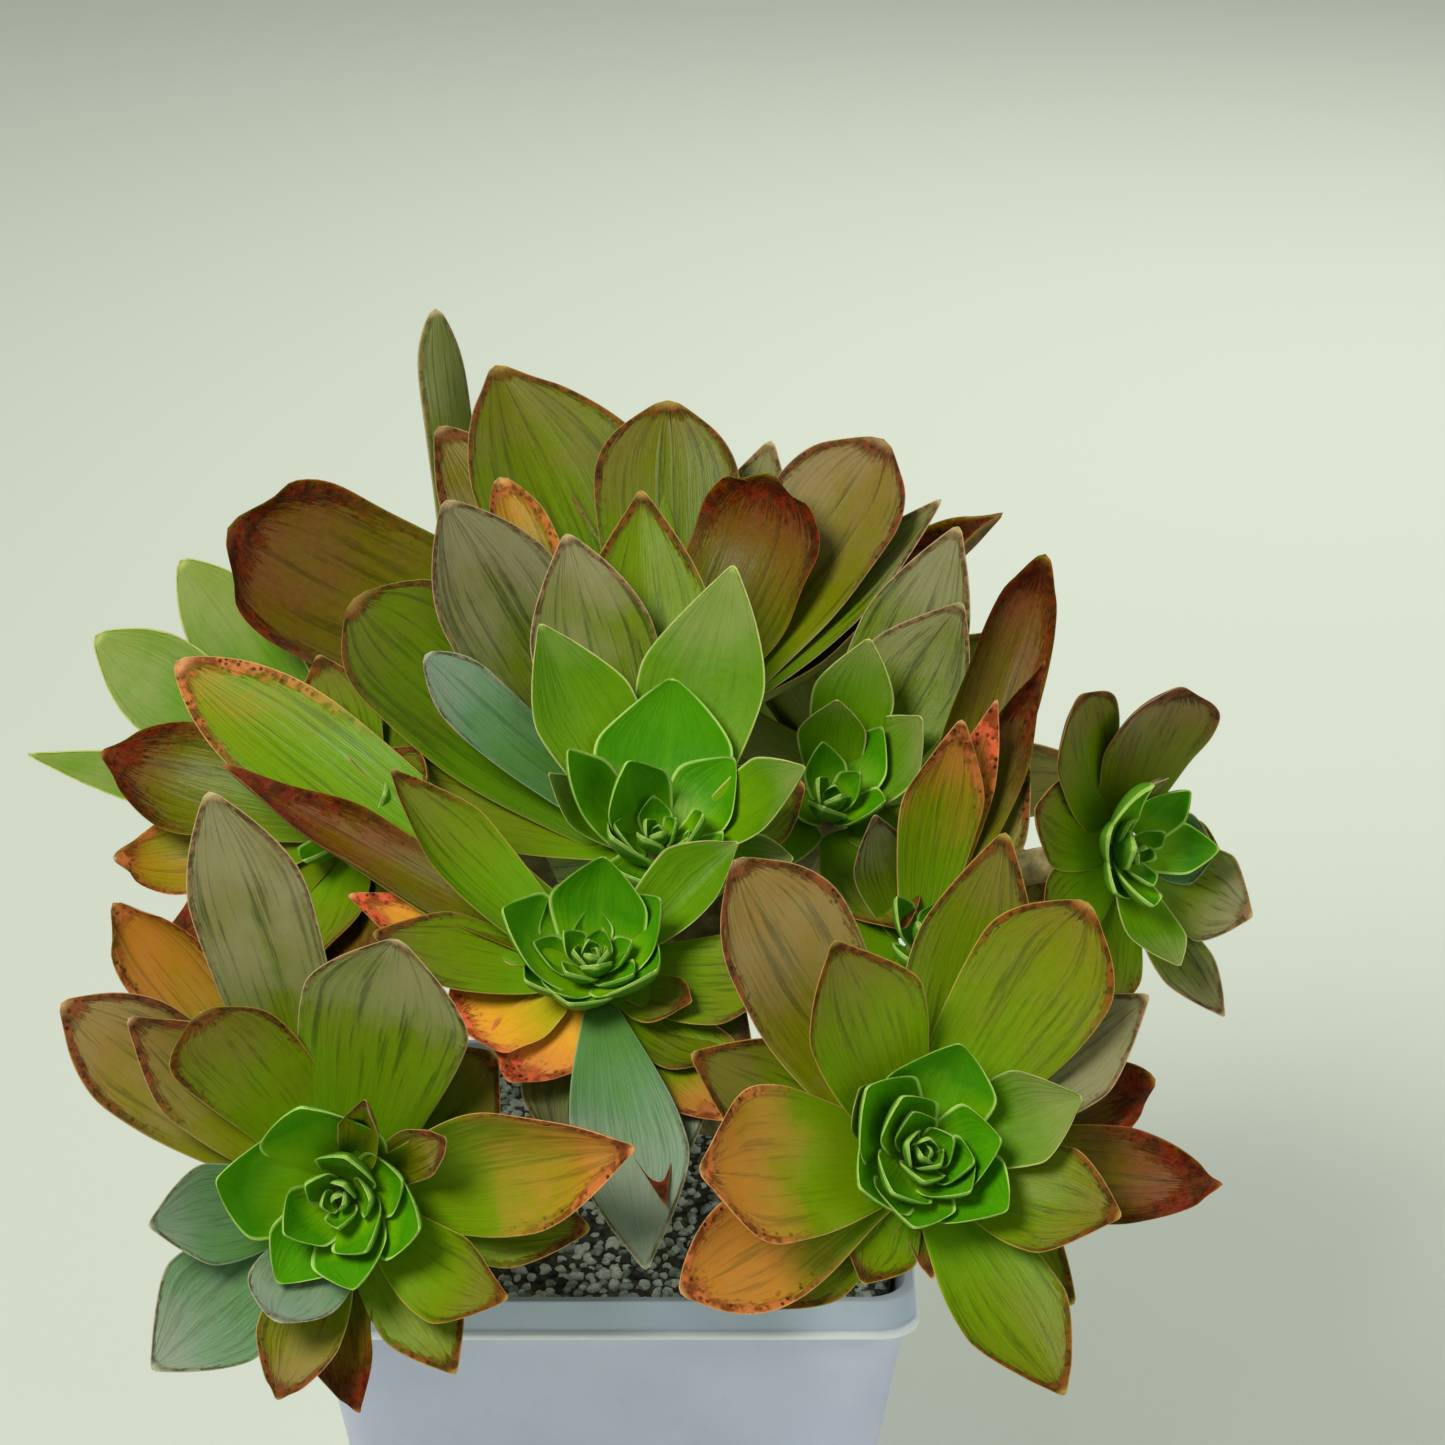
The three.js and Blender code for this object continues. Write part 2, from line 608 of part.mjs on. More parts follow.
// The room that the pot takes up, for leaves that hang beside it
function potRoom() {
  const half = POT_HALF_TOP + BEAD + GAP;
  const shoulder = POT_HEIGHT - BAND_HEIGHT;
  return solidOf(squareBody([
    [0, 0],
    [POT_HALF_BASE, 0],
    [half, shoulder],
    [half, POT_HEIGHT + GAP],
    [0, POT_HEIGHT + GAP],
  ]));
}

// ---- the whole plant ----------------------------------------------------

const plant = new THREE.Group();
const everyRosette = [...ROSETTES, ...WHOLE_ROSETTES];
const stem = stemSolid(everyRosette, 0);
const stemRoom = stemSolid(everyRosette, GAP);
const mix = trimmed(mixSolid(), [stemRoom]);
plant.add(mesh("pot", geometryOf(potSolid()), ...POT_FINISH));
plant.add(mesh("stem", geometryOf(stem.simplify(SMOOTHING)), ...STEM_FINISH));
plant.add(mesh("potting_mix", geometryOf(mix), ...MIX_FINISH));

// Each piece is trimmed by the room that the pieces before it take up
const rooms = [stemRoom, potRoom()];

for (const rosette of ROSETTES) {
  const heart = trimmed(rosetteSolid(rosette, rosette.spare, 0), rooms);
  plant.add(mesh(`${rosette.name}_heart`, geometryOf(heart), TONES.fresh, LEAF_ROUGHNESS));
  rooms.push(rosetteSolid(rosette, rosette.spare, GAP));
}

for (const rosette of ROSETTES) {
  rosette.leaves.forEach((leaf, i) => {
    const blade = trimmed(leafSolid(rosette, leaf, 0), rooms);
    plant.add(mesh(`${rosette.name}_leaf_${i + 1}`, geometryOf(blade), TONES[leaf.tone], LEAF_ROUGHNESS));
    rooms.push(leafSolid(rosette, leaf, GAP));
  });
}

for (const rosette of WHOLE_ROSETTES) {
  const whole = trimmed(rosetteSolid(rosette, rosette.leaves, 0), rooms);
  plant.add(mesh(`${rosette.name}_rosette`, geometryOf(whole), TONES[rosette.tone], LEAF_ROUGHNESS));
  rooms.push(rosetteSolid(rosette, rosette.leaves, GAP));
}

export default plant;
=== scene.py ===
import json
import math
import random

import bpy
import numpy as np
from mathutils import Matrix, Vector


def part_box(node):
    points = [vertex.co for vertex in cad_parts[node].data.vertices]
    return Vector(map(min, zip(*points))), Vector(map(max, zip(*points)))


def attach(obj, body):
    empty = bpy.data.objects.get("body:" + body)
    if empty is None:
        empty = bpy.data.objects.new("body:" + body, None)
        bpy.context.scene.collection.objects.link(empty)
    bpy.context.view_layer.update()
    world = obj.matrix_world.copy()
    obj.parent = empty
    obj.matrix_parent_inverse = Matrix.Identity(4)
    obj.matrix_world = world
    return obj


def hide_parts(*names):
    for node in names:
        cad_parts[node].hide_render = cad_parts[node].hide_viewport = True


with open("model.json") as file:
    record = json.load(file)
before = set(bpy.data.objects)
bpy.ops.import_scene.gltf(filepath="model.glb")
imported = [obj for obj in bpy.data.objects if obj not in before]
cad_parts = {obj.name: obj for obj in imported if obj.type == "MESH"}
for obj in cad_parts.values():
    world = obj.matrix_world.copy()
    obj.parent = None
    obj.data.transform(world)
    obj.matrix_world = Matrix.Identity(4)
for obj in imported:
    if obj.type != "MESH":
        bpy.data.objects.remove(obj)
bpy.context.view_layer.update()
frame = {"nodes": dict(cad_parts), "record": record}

MM = 0.001
GOLDEN = 137.5
BODY = "root"

# How a leaf's foot sits on its rosette, as in the CAD
BRANCH_RADIUS = 2.9 * MM
HEART_ABOVE_BRANCH = 4.9 * MM
FOOT_OUT = 5.0 * MM
SPARE_FOOT_OUT = 3.0 * MM
FOOT_DROP = 3.0 * MM

# The hearts' young leaves and the knob under them
INNER_FOOT = 2.5 * MM
INNERMOST_LONG = 0.34
INNERMOST_LEAN = 3
CORE_RADIUS = 4.6 * MM
CORE_HEIGHT = 9 * MM
CORE_TOP_SHARE = 0.35

# How far facets may stray and still be one flat branch end
SAME_WAY = 0.9995
SAME_DEPTH = 0.05 * MM
ROUND_WITHIN = 0.1
SEWN_WITHIN = 0.01 * MM

# Pot
POT_WALL = 1.5 * MM
BAND_HEIGHT = 6.4 * MM
BEAD = 0.8 * MM
POT_CORNER = 6.0 * MM
HOLE_RADIUS = 3.5 * MM
HOLE_FROM_MIDDLE = 17.0 * MM

# Grit: the grains' radius, how many lie along each side, how the mound falls to
# its edges and how much grains stand out of it or sink in
GRAIN_MIN = 0.7 * MM
GRAIN_MAX = 1.5 * MM
GRAIN_ROWS = 46
GRAIN_CLEAR_OF_POT = 1.0 * MM
MOUND_FALL = 1.7 * MM
GRAIN_SUNK = 0.3 * MM
GRAIN_PROUD = 0.35 * MM
GRAIN_SHAPES = 5

# Camera and lights
CAMERA_AIM = (0.0165, 0.0, 0.154)
CAMERA_RISE = 22
CAMERA_DISTANCE = 0.8
CAMERA_LENS = 132.6
LIGHT_AIM = (0.0, 0.0, 0.13)
SKY_STRENGTH = 0.35

SLOT_OF = {row["node"]: row["material_slot"] for row in frame["record"]["subparts"]}
ROSETTES = ("crown", "front", "left", "right", "side", "middle", "top")
WHOLE_ROSETTES = ("between", "far_left", "back_left", "back_right", "back_low")


# ---- small helpers --------------------------------------------------------

def deselect():
    bpy.ops.object.select_all(action="DESELECT")


def only(piece):
    deselect()
    piece.select_set(True)
    bpy.context.view_layer.objects.active = piece


def tint(red, green, blue):
    """A colour given as 0 to 255 screen values, in Blender's linear light."""
    return tuple(((c / 255) ** 2.2) for c in (red, green, blue)) + (1.0,)


def apply_modifiers(piece):
    only(piece)
    for modifier in list(piece.modifiers):
        bpy.ops.object.modifier_apply(modifier=modifier.name)


def subdivide_smooth(piece, levels):
    modifier = piece.modifiers.new("smooth", "SUBSURF")
    modifier.levels = levels
    modifier.render_levels = levels
    apply_modifiers(piece)


def join(pieces, name):
    deselect()
    for piece in pieces:
        piece.select_set(True)
    bpy.context.view_layer.objects.active = pieces[0]
    bpy.ops.object.join()
    joined = bpy.context.object
    joined.name = name
    joined.data.name = name
    return joined


def dress(piece, material, slot, *nodes):
    """The piece gets its material, rides on the body and stands for its CAD nodes."""
    piece.data.materials.clear()
    piece.data.materials.append(material)
    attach(piece, BODY)
    if nodes:
        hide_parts(*nodes)


# ---- materials --------------------------------------------------------------

# What multiplies a colour in linear light: a leaf's dark lines, its scorched
# blotches and the pot's greyer band
STREAK_SHADE = (0.3, 0.34, 0.26, 1.0)
SCORCH_SHADE = (0.32, 0.18, 0.16, 1.0)
BAND_SHADE = (0.84, 0.92, 0.88, 1.0)


class Graph:
    """A material's nodes, added one at a time and joined by name."""

    def __init__(self, name):
        self.material = bpy.data.materials.new(name)
        self.material.use_nodes = True
        self.tree = self.material.node_tree
        self.shader = self.tree.nodes["Principled BSDF"]

    def put(self, socket, value):
        if isinstance(value, bpy.types.NodeSocket):
            self.tree.links.new(value, socket)
        else:
            socket.default_value = value

    def attribute(self, name):
        node = self.tree.nodes.new("ShaderNodeAttribute")
        node.attribute_name = name
        return node.outputs["Fac"]

    def object_place(self):
        return self.tree.nodes.new("ShaderNodeTexCoord").outputs["Object"]

    def noise(self, place, scale, detail=3.0, roughness=0.55):
        node = self.tree.nodes.new("ShaderNodeTexNoise")
        self.put(node.inputs["Vector"], place)
        node.inputs["Scale"].default_value = scale
        node.inputs["Detail"].default_value = detail
        node.inputs["Roughness"].default_value = roughness
        return node.outputs["Fac"]

    def cells(self, place, scale):
        node = self.tree.nodes.new("ShaderNodeTexVoronoi")
        self.put(node.inputs["Vector"], place)
        node.inputs["Scale"].default_value = scale
        return node.outputs["Distance"]

    def math(self, operation, a, b=0.0):
        node = self.tree.nodes.new("ShaderNodeMath")
        node.operation = operation
        self.put(node.inputs[0], a)
        self.put(node.inputs[1], b)
        return node.outputs[0]

    def ramp(self, value, low, high, start=0.0, end=1.0):
        """start below low, end above high, smooth between."""
        node = self.tree.nodes.new("ShaderNodeMapRange")
        node.interpolation_type = "SMOOTHSTEP"
        self.put(node.inputs["Value"], value)
        node.inputs["From Min"].default_value = low
        node.inputs["From Max"].default_value = high
        node.inputs["To Min"].default_value = start
        node.inputs["To Max"].default_value = end
        return node.outputs["Result"]

    def mix(self, factor, a, b, blend="MIX"):
        node = self.tree.nodes.new("ShaderNodeMix")
        node.data_type = "RGBA"
        node.blend_type = blend
        self.put(node.inputs["Factor"], factor)
        self.put(node.inputs["A"], a)
        self.put(node.inputs["B"], b)
        return node.outputs["Result"]

    def vector(self, x, y, z):
        node = self.tree.nodes.new("ShaderNodeCombineXYZ")
        self.put(node.inputs[0], x)
        self.put(node.inputs[1], y)
        self.put(node.inputs[2], z)
        return node.outputs[0]

    def height_of(self, place):
        """How high a place is, in metres."""
        parts = self.tree.nodes.new("ShaderNodeSeparateXYZ")
        self.put(parts.inputs[0], place)
        return parts.outputs["Z"]

    def colours(self, value, stops):
        node = self.tree.nodes.new("ShaderNodeValToRGB")
        self.put(node.inputs["Fac"], value)
        elements = node.color_ramp.elements
        while len(elements) < len(stops):
            elements.new(0.5)
        for element, (place, colour) in zip(elements, stops):
            element.position = place
            element.color = colour
        return node.outputs["Color"]

    def bump(self, height, strength, distance, below=None):
        node = self.tree.nodes.new("ShaderNodeBump")
        node.inputs["Strength"].default_value = strength
        node.inputs["Distance"].default_value = distance
        self.put(node.inputs["Height"], height)
        if below is not None:
            self.put(node.inputs["Normal"], below)
        return node.outputs["Normal"]


def leaf_finish(name, foot, flesh, end, margin, rim, bloom, dry, veins, edge_highlight_wide=0.22, edge_highlight_share=0.4):
    """Living leaf flesh.

    foot, flesh and end are the colours from the leaf's foot to its tip, margin the
    colour that old leaves turn inside their edge and rim the colour of the edge line,
    a painted highlight where the edge catches the light, and of the dry point.
    bloom is the share of pale wax, dry the width in mm of the turned margin, veins
    the strength of the dark lines, and the last two the painted highlight's width in
    mm and its strength.
    """
    g = Graph(name)
    place = g.object_place()
    along = g.attribute("along")
    side = g.attribute("side")
    rim_mm = g.attribute("rim_mm")
    under = g.attribute("under")
    chance = g.attribute("chance")
    painted_light = g.attribute("painted_light")
    age = g.attribute("age")

    patches = g.noise(place, 95.0, 4.0)
    grain = g.noise(place, 900.0, 2.0)
    wander = g.math("ADD", along, g.math("MULTIPLY", g.math("SUBTRACT", patches, 0.5), 0.7))
    wander = g.math("ADD", wander, g.math("MULTIPLY", g.math("SUBTRACT", chance, 0.5), 0.2))
    wander = g.math("ADD", wander, age)
    body = g.colours(wander, [(0.1, foot), (0.52, flesh), (0.92, end)])

    # darker lines that run up the leaf and fan out with it
    streak_place = g.vector(
        g.math("MULTIPLY", side, 6.0),
        g.math("MULTIPLY", along, 1.5),
        g.math("MULTIPLY", chance, 40.0),
    )
    streaks = g.noise(streak_place, 1.6, 4.0, 0.6)
    streak_share = g.math("MULTIPLY", g.ramp(streaks, 0.5, 0.66), g.ramp(along, 0.12, 0.6))
    dark = g.mix(1.0, body, STREAK_SHADE, "MULTIPLY")
    body = g.mix(g.math("MULTIPLY", streak_share, veins), body, dark)

    # the midrib channel, greener than the flesh beside it
    middle = g.ramp(g.math("ABSOLUTE", side), 0.0, 0.12, 1.0, 0.0)
    middle = g.math("MULTIPLY", middle, g.ramp(along, 0.95, 0.25))
    body = g.mix(g.math("MULTIPLY", middle, 0.3), body, g.mix(0.6, body, foot))

    # wax that rubs off in patches
    waxed = g.math("MULTIPLY", g.ramp(patches, 0.38, 0.6), g.ramp(wander, 0.42, 0.95))
    wax = g.mix(0.45, body, tint(150, 152, 112))
    body = g.mix(g.math("MULTIPLY", waxed, bloom), body, wax)

    # turned margin: streaks that run in from the edge, blotches and dots
    inward_place = g.vector(
        g.math("MULTIPLY", side, 13.0),
        g.math("MULTIPLY", along, 7.0),
        g.math("MULTIPLY", chance, 60.0),
    )
    inward = g.noise(inward_place, 2.0, 3.0, 0.7)
    blotch = g.noise(place, 380.0, 3.0, 0.65)
    ragged = g.math("ADD", g.math("MULTIPLY", inward, 0.7), g.math("MULTIPLY", blotch, 0.3))
    reach = g.math("ADD", rim_mm, g.math("MULTIPLY", g.math("SUBTRACT", ragged, 0.5), dry * 5.0))
    reach = g.math("SUBTRACT", reach, g.math("MULTIPLY", g.ramp(along, 0.4, 1.0), dry * 1.1))
    late = g.ramp(g.math("ADD", along, g.math("MULTIPLY", age, 0.5)), 0.4, 0.78)
    turned = g.math("MULTIPLY", g.ramp(reach, dry, 0.2 * dry), late)
    scorched = g.mix(1.0, margin, SCORCH_SHADE, "MULTIPLY")
    burnt = g.mix(g.ramp(blotch, 0.42, 0.58), margin, scorched)
    body = g.mix(g.math("MULTIPLY", turned, 0.9), body, burnt)
    dots = g.cells(place, 780.0)
    dotted = g.math("MULTIPLY", g.ramp(dots, 0.34, 0.16), g.ramp(rim_mm, dry * 2.6 + 0.4, 0.2))
    dotted = g.math("MULTIPLY", dotted, late)
    body = g.mix(g.math("MULTIPLY", dotted, min(1.0, dry)), body, tint(70, 16, 8))

    # the thin edge line: a painted highlight where the edge catches the light
    edge = g.ramp(rim_mm, edge_highlight_wide, 0.45 * edge_highlight_wide)
    body = g.mix(g.math("MULTIPLY", edge, edge_highlight_share), body, rim)

    # the dry point, the paler underside, and painted light and shade: a plain factor that darkens leaves
    # lying in the shade of others and brightens a few in full light
    body = g.mix(g.math("MULTIPLY", g.ramp(along, 0.95, 0.985), 0.6), body, rim)
    pale = g.mix(0.4, body, tint(112, 120, 66))
    body = g.mix(g.math("MULTIPLY", under, 0.6), body, pale)
    body = g.mix(g.ramp(grain, 0.3, 0.75, 0.0, 0.06), body, tint(150, 170, 60))
    body = g.mix(1.0, body, g.vector(painted_light, painted_light, painted_light), "MULTIPLY")
    g.put(g.shader.inputs["Base Color"], body)

    rough = g.math("ADD", g.ramp(patches, 0.3, 0.7, 0.3, 0.46), g.math("MULTIPLY", turned, 0.2))
    g.put(g.shader.inputs["Roughness"], rough)
    g.shader.inputs["Subsurface Weight"].default_value = 0.18
    g.shader.inputs["Subsurface Radius"].default_value = (0.6, 1.0, 0.15)
    g.shader.inputs["Subsurface Scale"].default_value = 0.0016
    g.shader.inputs["Specular IOR Level"].default_value = 0.12

    ribs = g.bump(streaks, 0.45, 0.0006)
    skin = g.bump(g.noise(place, 1500.0, 3.0), 0.25, 0.00018, ribs)
    withered = g.bump(g.math("MULTIPLY", blotch, turned), 0.6, 0.0008, skin)
    g.put(g.shader.inputs["Normal"], withered)
    return g.material


def pot_plastic(band_foot):
    """Moulded grey plastic with a faint lavender cast, fine texture and scuffs.

    The band above band_foot is a little greyer, and the bead under it has a painted highlight line.
    """
    g = Graph("pot_plastic")
    place = g.object_place()
    cloud = g.noise(place, 30.0, 3.0)
    tone = g.mix(g.ramp(cloud, 0.3, 0.7), tint(194, 200, 226), tint(208, 214, 236))
    dust = g.noise(place, 260.0, 5.0, 0.7)
    tone = g.mix(g.ramp(dust, 0.55, 0.8, 0.0, 0.35), tone, tint(186, 186, 184))
    scuffs = g.noise(place, 70.0, 8.0, 0.75)
    tone = g.mix(g.ramp(scuffs, 0.64, 0.7, 0.0, 0.3), tone, tint(206, 210, 220))
    height = g.height_of(place)
    over = g.ramp(height, band_foot, band_foot + 0.5 * BEAD)
    tone = g.mix(over, tone, g.mix(1.0, tone, BAND_SHADE, "MULTIPLY"))
    # painted highlight: a near-white line along the bead, where its edge catches the light
    bead_highlight_foot = g.ramp(height, band_foot - 0.1 * BEAD, band_foot + 0.2 * BEAD)
    bead_highlight_top = g.ramp(height, band_foot + 2.0 * BEAD, band_foot + 1.6 * BEAD)
    tone = g.mix(g.math("MULTIPLY", bead_highlight_foot, bead_highlight_top), tone, tint(240, 246, 252))
    g.put(g.shader.inputs["Base Color"], tone)
    g.put(g.shader.inputs["Roughness"], g.ramp(dust, 0.3, 0.8, 0.38, 0.6))
    pebble = g.noise(place, 2600.0, 2.0)
    g.put(g.shader.inputs["Normal"], g.bump(pebble, 0.18, 0.0001))
    g.shader.inputs["Subsurface Weight"].default_value = 0.06
    g.shader.inputs["Subsurface Scale"].default_value = 0.002
    return g.material


def soil_finish():
    """Dark fine matter between the grains."""
    g = Graph("fine_mix")
    place = g.object_place()
    crumbs = g.noise(place, 520.0, 6.0, 0.7)
    tone = g.colours(crumbs, [
        (0.3, tint(34, 32, 28)),
        (0.52, tint(74, 70, 60)),
        (0.7, tint(128, 126, 116)),
    ])
    g.put(g.shader.inputs["Base Color"], tone)
    g.shader.inputs["Roughness"].default_value = 0.95
    g.put(g.shader.inputs["Normal"], g.bump(crumbs, 0.9, 0.0008))
    return g.material


def grain_finish(name, dark, light):
    """Crushed stone: mottled, with dark specks."""
    g = Graph(name)
    place = g.object_place()
    mottle = g.noise(place, 700.0, 4.0, 0.7)
    tone = g.mix(g.ramp(mottle, 0.3, 0.7), dark, light)
    specks = g.noise(place, 2600.0, 2.0)
    tone = g.mix(g.ramp(specks, 0.6, 0.7, 0.0, 0.7), tone, tint(40, 42, 40))
    g.put(g.shader.inputs["Base Color"], tone)
    g.shader.inputs["Roughness"].default_value = 0.85
    g.put(g.shader.inputs["Normal"], g.bump(mottle, 0.6, 0.0003))
    return g.material


def stem_bark():
    """Green-brown fibrous stem skin with paler and greener patches."""
    g = Graph("stem_bark")
    place = g.object_place()
    fibre = g.noise(place, 300.0, 6.0, 0.65)
    tone = g.colours(fibre, [
        (0.3, tint(70, 62, 34)),
        (0.5, tint(118, 104, 62)),
        (0.72, tint(160, 146, 104)),
    ])
    green = g.noise(place, 45.0, 2.0)
    tone = g.mix(g.ramp(green, 0.45, 0.7, 0.0, 0.6), tone, tint(104, 122, 48))
    g.put(g.shader.inputs["Base Color"], tone)
    g.shader.inputs["Roughness"].default_value = 0.75
    g.put(g.shader.inputs["Normal"], g.bump(fibre, 0.7, 0.0005))
    return g.material


FINISHES = {
    "leaf_heart": leaf_finish(
        "heart_leaf", tint(124, 180, 16), tint(66, 138, 0), tint(80, 152, 6),
        margin=tint(120, 170, 40), rim=tint(186, 230, 108), bloom=0.02, dry=0.1, veins=0.12,
        edge_highlight_wide=0.6, edge_highlight_share=0.95),
    "leaf_fresh": leaf_finish(
        "fresh_leaf", tint(104, 150, 0), tint(88, 134, 0), tint(128, 146, 66),
        margin=tint(130, 136, 50), rim=tint(196, 204, 120), bloom=0.35, dry=0.2, veins=0.2,
        edge_highlight_wide=0.34, edge_highlight_share=0.8),
    "leaf_olive": leaf_finish(
        "olive_leaf", tint(100, 148, 0), tint(106, 130, 0), tint(116, 108, 20),
        margin=tint(124, 62, 24), rim=tint(196, 156, 80), bloom=0.2, dry=0.9, veins=0.6,
        edge_highlight_share=0.55),
    "leaf_bronze": leaf_finish(
        "bronze_leaf", tint(104, 142, 0), tint(120, 122, 4), tint(146, 116, 60),
        margin=tint(130, 62, 36), rim=tint(206, 160, 116), bloom=0.45, dry=1.1, veins=0.7,
        edge_highlight_share=0.55),
    "leaf_rust": leaf_finish(
        "rust_leaf", tint(98, 128, 0), tint(104, 100, 0), tint(116, 54, 16),
        margin=tint(112, 28, 12), rim=tint(184, 104, 58), bloom=0.15, dry=2.4, veins=0.6),
    "leaf_blush": leaf_finish(
        "blush_leaf", tint(170, 160, 8), tint(238, 168, 48), tint(246, 146, 70),
        margin=tint(236, 100, 66), rim=tint(250, 180, 130), bloom=0.1, dry=1.6, veins=0.15),
    "leaf_amber": leaf_finish(
        "amber_leaf", tint(96, 144, 0), tint(114, 138, 0), tint(190, 122, 38),
        margin=tint(196, 108, 60), rim=tint(236, 170, 112), bloom=0.2, dry=1.3, veins=0.5,
        edge_highlight_share=0.6),
    "leaf_grey": leaf_finish(
        "waxy_leaf", tint(96, 136, 0), tint(102, 120, 16), tint(130, 122, 82),
        margin=tint(136, 102, 72), rim=tint(206, 182, 138), bloom=0.65, dry=0.6, veins=0.9,
        edge_highlight_share=0.55),
    "leaf_dusky": leaf_finish(
        "dusky_leaf", tint(74, 124, 30), tint(94, 134, 88), tint(130, 148, 130),
        margin=tint(136, 128, 106), rim=tint(190, 198, 172), bloom=0.5, dry=0.4, veins=0.45),
}


# ---- leaves -----------------------------------------------------------------

# How sharp subdivision leaves a leaf's margin, from 0 to 1
MARGIN_CREASE = 0.75


class Blank:
    """A closed leaf blank with its poles at the foot and the tip.

    along runs 0 to 1 from foot to tip, side -1 to 1 across, and up is 1 on the
    middle of the upper face and -1 on the middle of the lower one.
    """

    def __init__(self, around, rings):
        deselect()
        bpy.ops.mesh.primitive_uv_sphere_add(segments=around, ring_count=rings, radius=1)
        self.piece = bpy.context.object
        self.mesh = self.piece.data
        count = len(self.mesh.vertices)
        place = np.zeros(count * 3)
        self.mesh.vertices.foreach_get("co", place)
        place = place.reshape(-1, 3)
        polar = np.arccos(np.clip(place[:, 2], -1, 1))
        ring = np.sin(polar)
        poles = ring < 1e-3
        ring[poles] = 1
        self.along = 1 - polar / math.pi
        self.side = np.where(poles, 0, place[:, 0] / ring)
        self.up = np.where(poles, 0, -place[:, 1] / ring)
        pairs = [tuple(edge.vertices) for edge in self.mesh.edges]
        on_margin = np.abs(np.abs(self.side) - 1) < 1e-3
        on_margin |= poles
        self.creases = np.array([MARGIN_CREASE if on_margin[a] and on_margin[b] else 0.0 for a, b in pairs])


def width_share(along, widest, foot_width, point):
    """A leaf's width along its length, as a share of its greatest."""
    rise = np.clip(along / widest, 0, 1)
    fall = np.clip((along - widest) / (1 - widest), 0, 1)
    return (foot_width + (1 - foot_width) * np.sin(np.pi / 2 * rise) ** 1.2) * (1 - fall ** point)


# A plain leaf, but for its length and width, long and wide, which are always given.
# In mm: those two, thick (None takes a share of the width), bow (how far its middle
# sags from its face), hook (how far its tip turns back), crimp (the margin's waves)
# and bend (how far its middle swings aside). As shares: widest (where along it),
# foot_width and fold (how steep its halves stand). In degrees: turn and twist, about
# its length. point is the power that its outline closes with, roll about the angle
# in radians from midrib to margin, the light factor multiplies its colour as painted
# shade below 1 and painted light above 1, and age moves its colours along.
LEAF = dict(
    thick=None, widest=0.62, foot_width=0.5, point=1.35, bow=2.0, roll=0.35, hook=0.0,
    crimp=0.0, twist=0.0, fold=0.0, bend=0.0, turn=0.0, painted_light=1.0, age=0.0,
)


def grow_leaf(blank, name, place, shape, rng):
    """One leaf, its foot at the place's origin, along its +Y and facing its +Z."""
    s = {**LEAF, **shape}
    along, side, up = blank.along, blank.side, blank.up
    thick = s["thick"] or max(0.9, 0.115 * s["wide"])
    share = width_share(along, s["widest"], s["foot_width"], s["point"])
    half = s["wide"] / 2 * share
    phase = rng.uniform(0, 6.28)
    phase_two = rng.uniform(0, 6.28)

    # the blade rolls up around its midrib, more at the tip than at the foot
    roll = np.maximum(s["roll"] * (0.5 + 0.6 * along), 1e-3)
    wobble = 1 + 0.06 * np.sin(5.2 * along + phase) * np.sign(side)
    across = half * np.sin(roll * side * wobble) / roll
    lift = half * (1 - np.cos(roll * side)) / roll + s["fold"] * half * np.abs(side)
    lift = lift - 4 * s["bow"] * along * (1 - along)
    late = np.clip((along - 0.62) / 0.38, 0, 1)
    lift = lift - s["hook"] * late ** 2
    crimped = s["crimp"] * np.abs(side) ** 3 * (0.3 + 0.7 * along)
    side_phase = np.where(side > 0, phase, phase_two)
    lift = lift + crimped * np.sin(17 * along + side_phase)
    across = across + 0.5 * crimped * np.sign(side) * np.sin(11 * along + side_phase)

    # fleshy below, nearly flat above, thin at the margin
    flesh = thick * (1.12 - 0.62 * along) * np.abs(up) ** 1.15
    flesh = flesh * np.clip((1 - along) * 9, 0.25, 1)
    height = lift + np.where(up > 0, 0.34 * flesh, -0.66 * flesh)
    length = s["long"] * along - 0.35 * np.abs(lift) * (along > 0.9)

    across = across + s["bend"] * 4 * along * (1 - along)
    angle = np.radians(s["turn"] + s["twist"] * along)
    x = across * np.cos(angle) - height * np.sin(angle)
    z = across * np.sin(angle) + height * np.cos(angle)
    local = np.stack([x, length, z], 1) * MM
    turn = np.array(place.to_3x3())
    world = local @ turn.T + np.array(place.translation)

    mesh = blank.mesh.copy()
    mesh.name = name
    mesh.vertices.foreach_set("co", world.ravel())
    edge_gap = np.minimum((1 - np.abs(side)) * half, (1 - along) * s["long"] * 0.5)
    values = {
        "along": along,
        "side": side,
        "rim_mm": edge_gap,
        "under": np.where(up < -0.05, 1.0, 0.0),
        "chance": np.full(len(along), rng.random()),
        "painted_light": np.full(len(along), s["painted_light"]),
        "age": np.full(len(along), s["age"]),
    }
    for key, value in values.items():
        layer = mesh.attributes.new(key, "FLOAT", "POINT")
        layer.data.foreach_set("value", value.astype(np.float32))
    crease = mesh.attributes.new("crease_edge", "FLOAT", "EDGE")
    crease.data.foreach_set("value", blank.creases.astype(np.float32))
    mesh.polygons.foreach_set("use_smooth", [True] * len(mesh.polygons))
    piece = bpy.data.objects.new(name, mesh)
    bpy.context.scene.collection.objects.link(piece)
    return piece


# By how many points around and how many rings from foot to tip
LARGE = Blank(24, 26)
MEDIUM = Blank(20, 20)
SMALL = Blank(16, 14)


# ---- rosettes ---------------------------------------------------------------

def node_points(node):
    return [vertex.co.copy() for vertex in frame["nodes"][node].data.vertices]


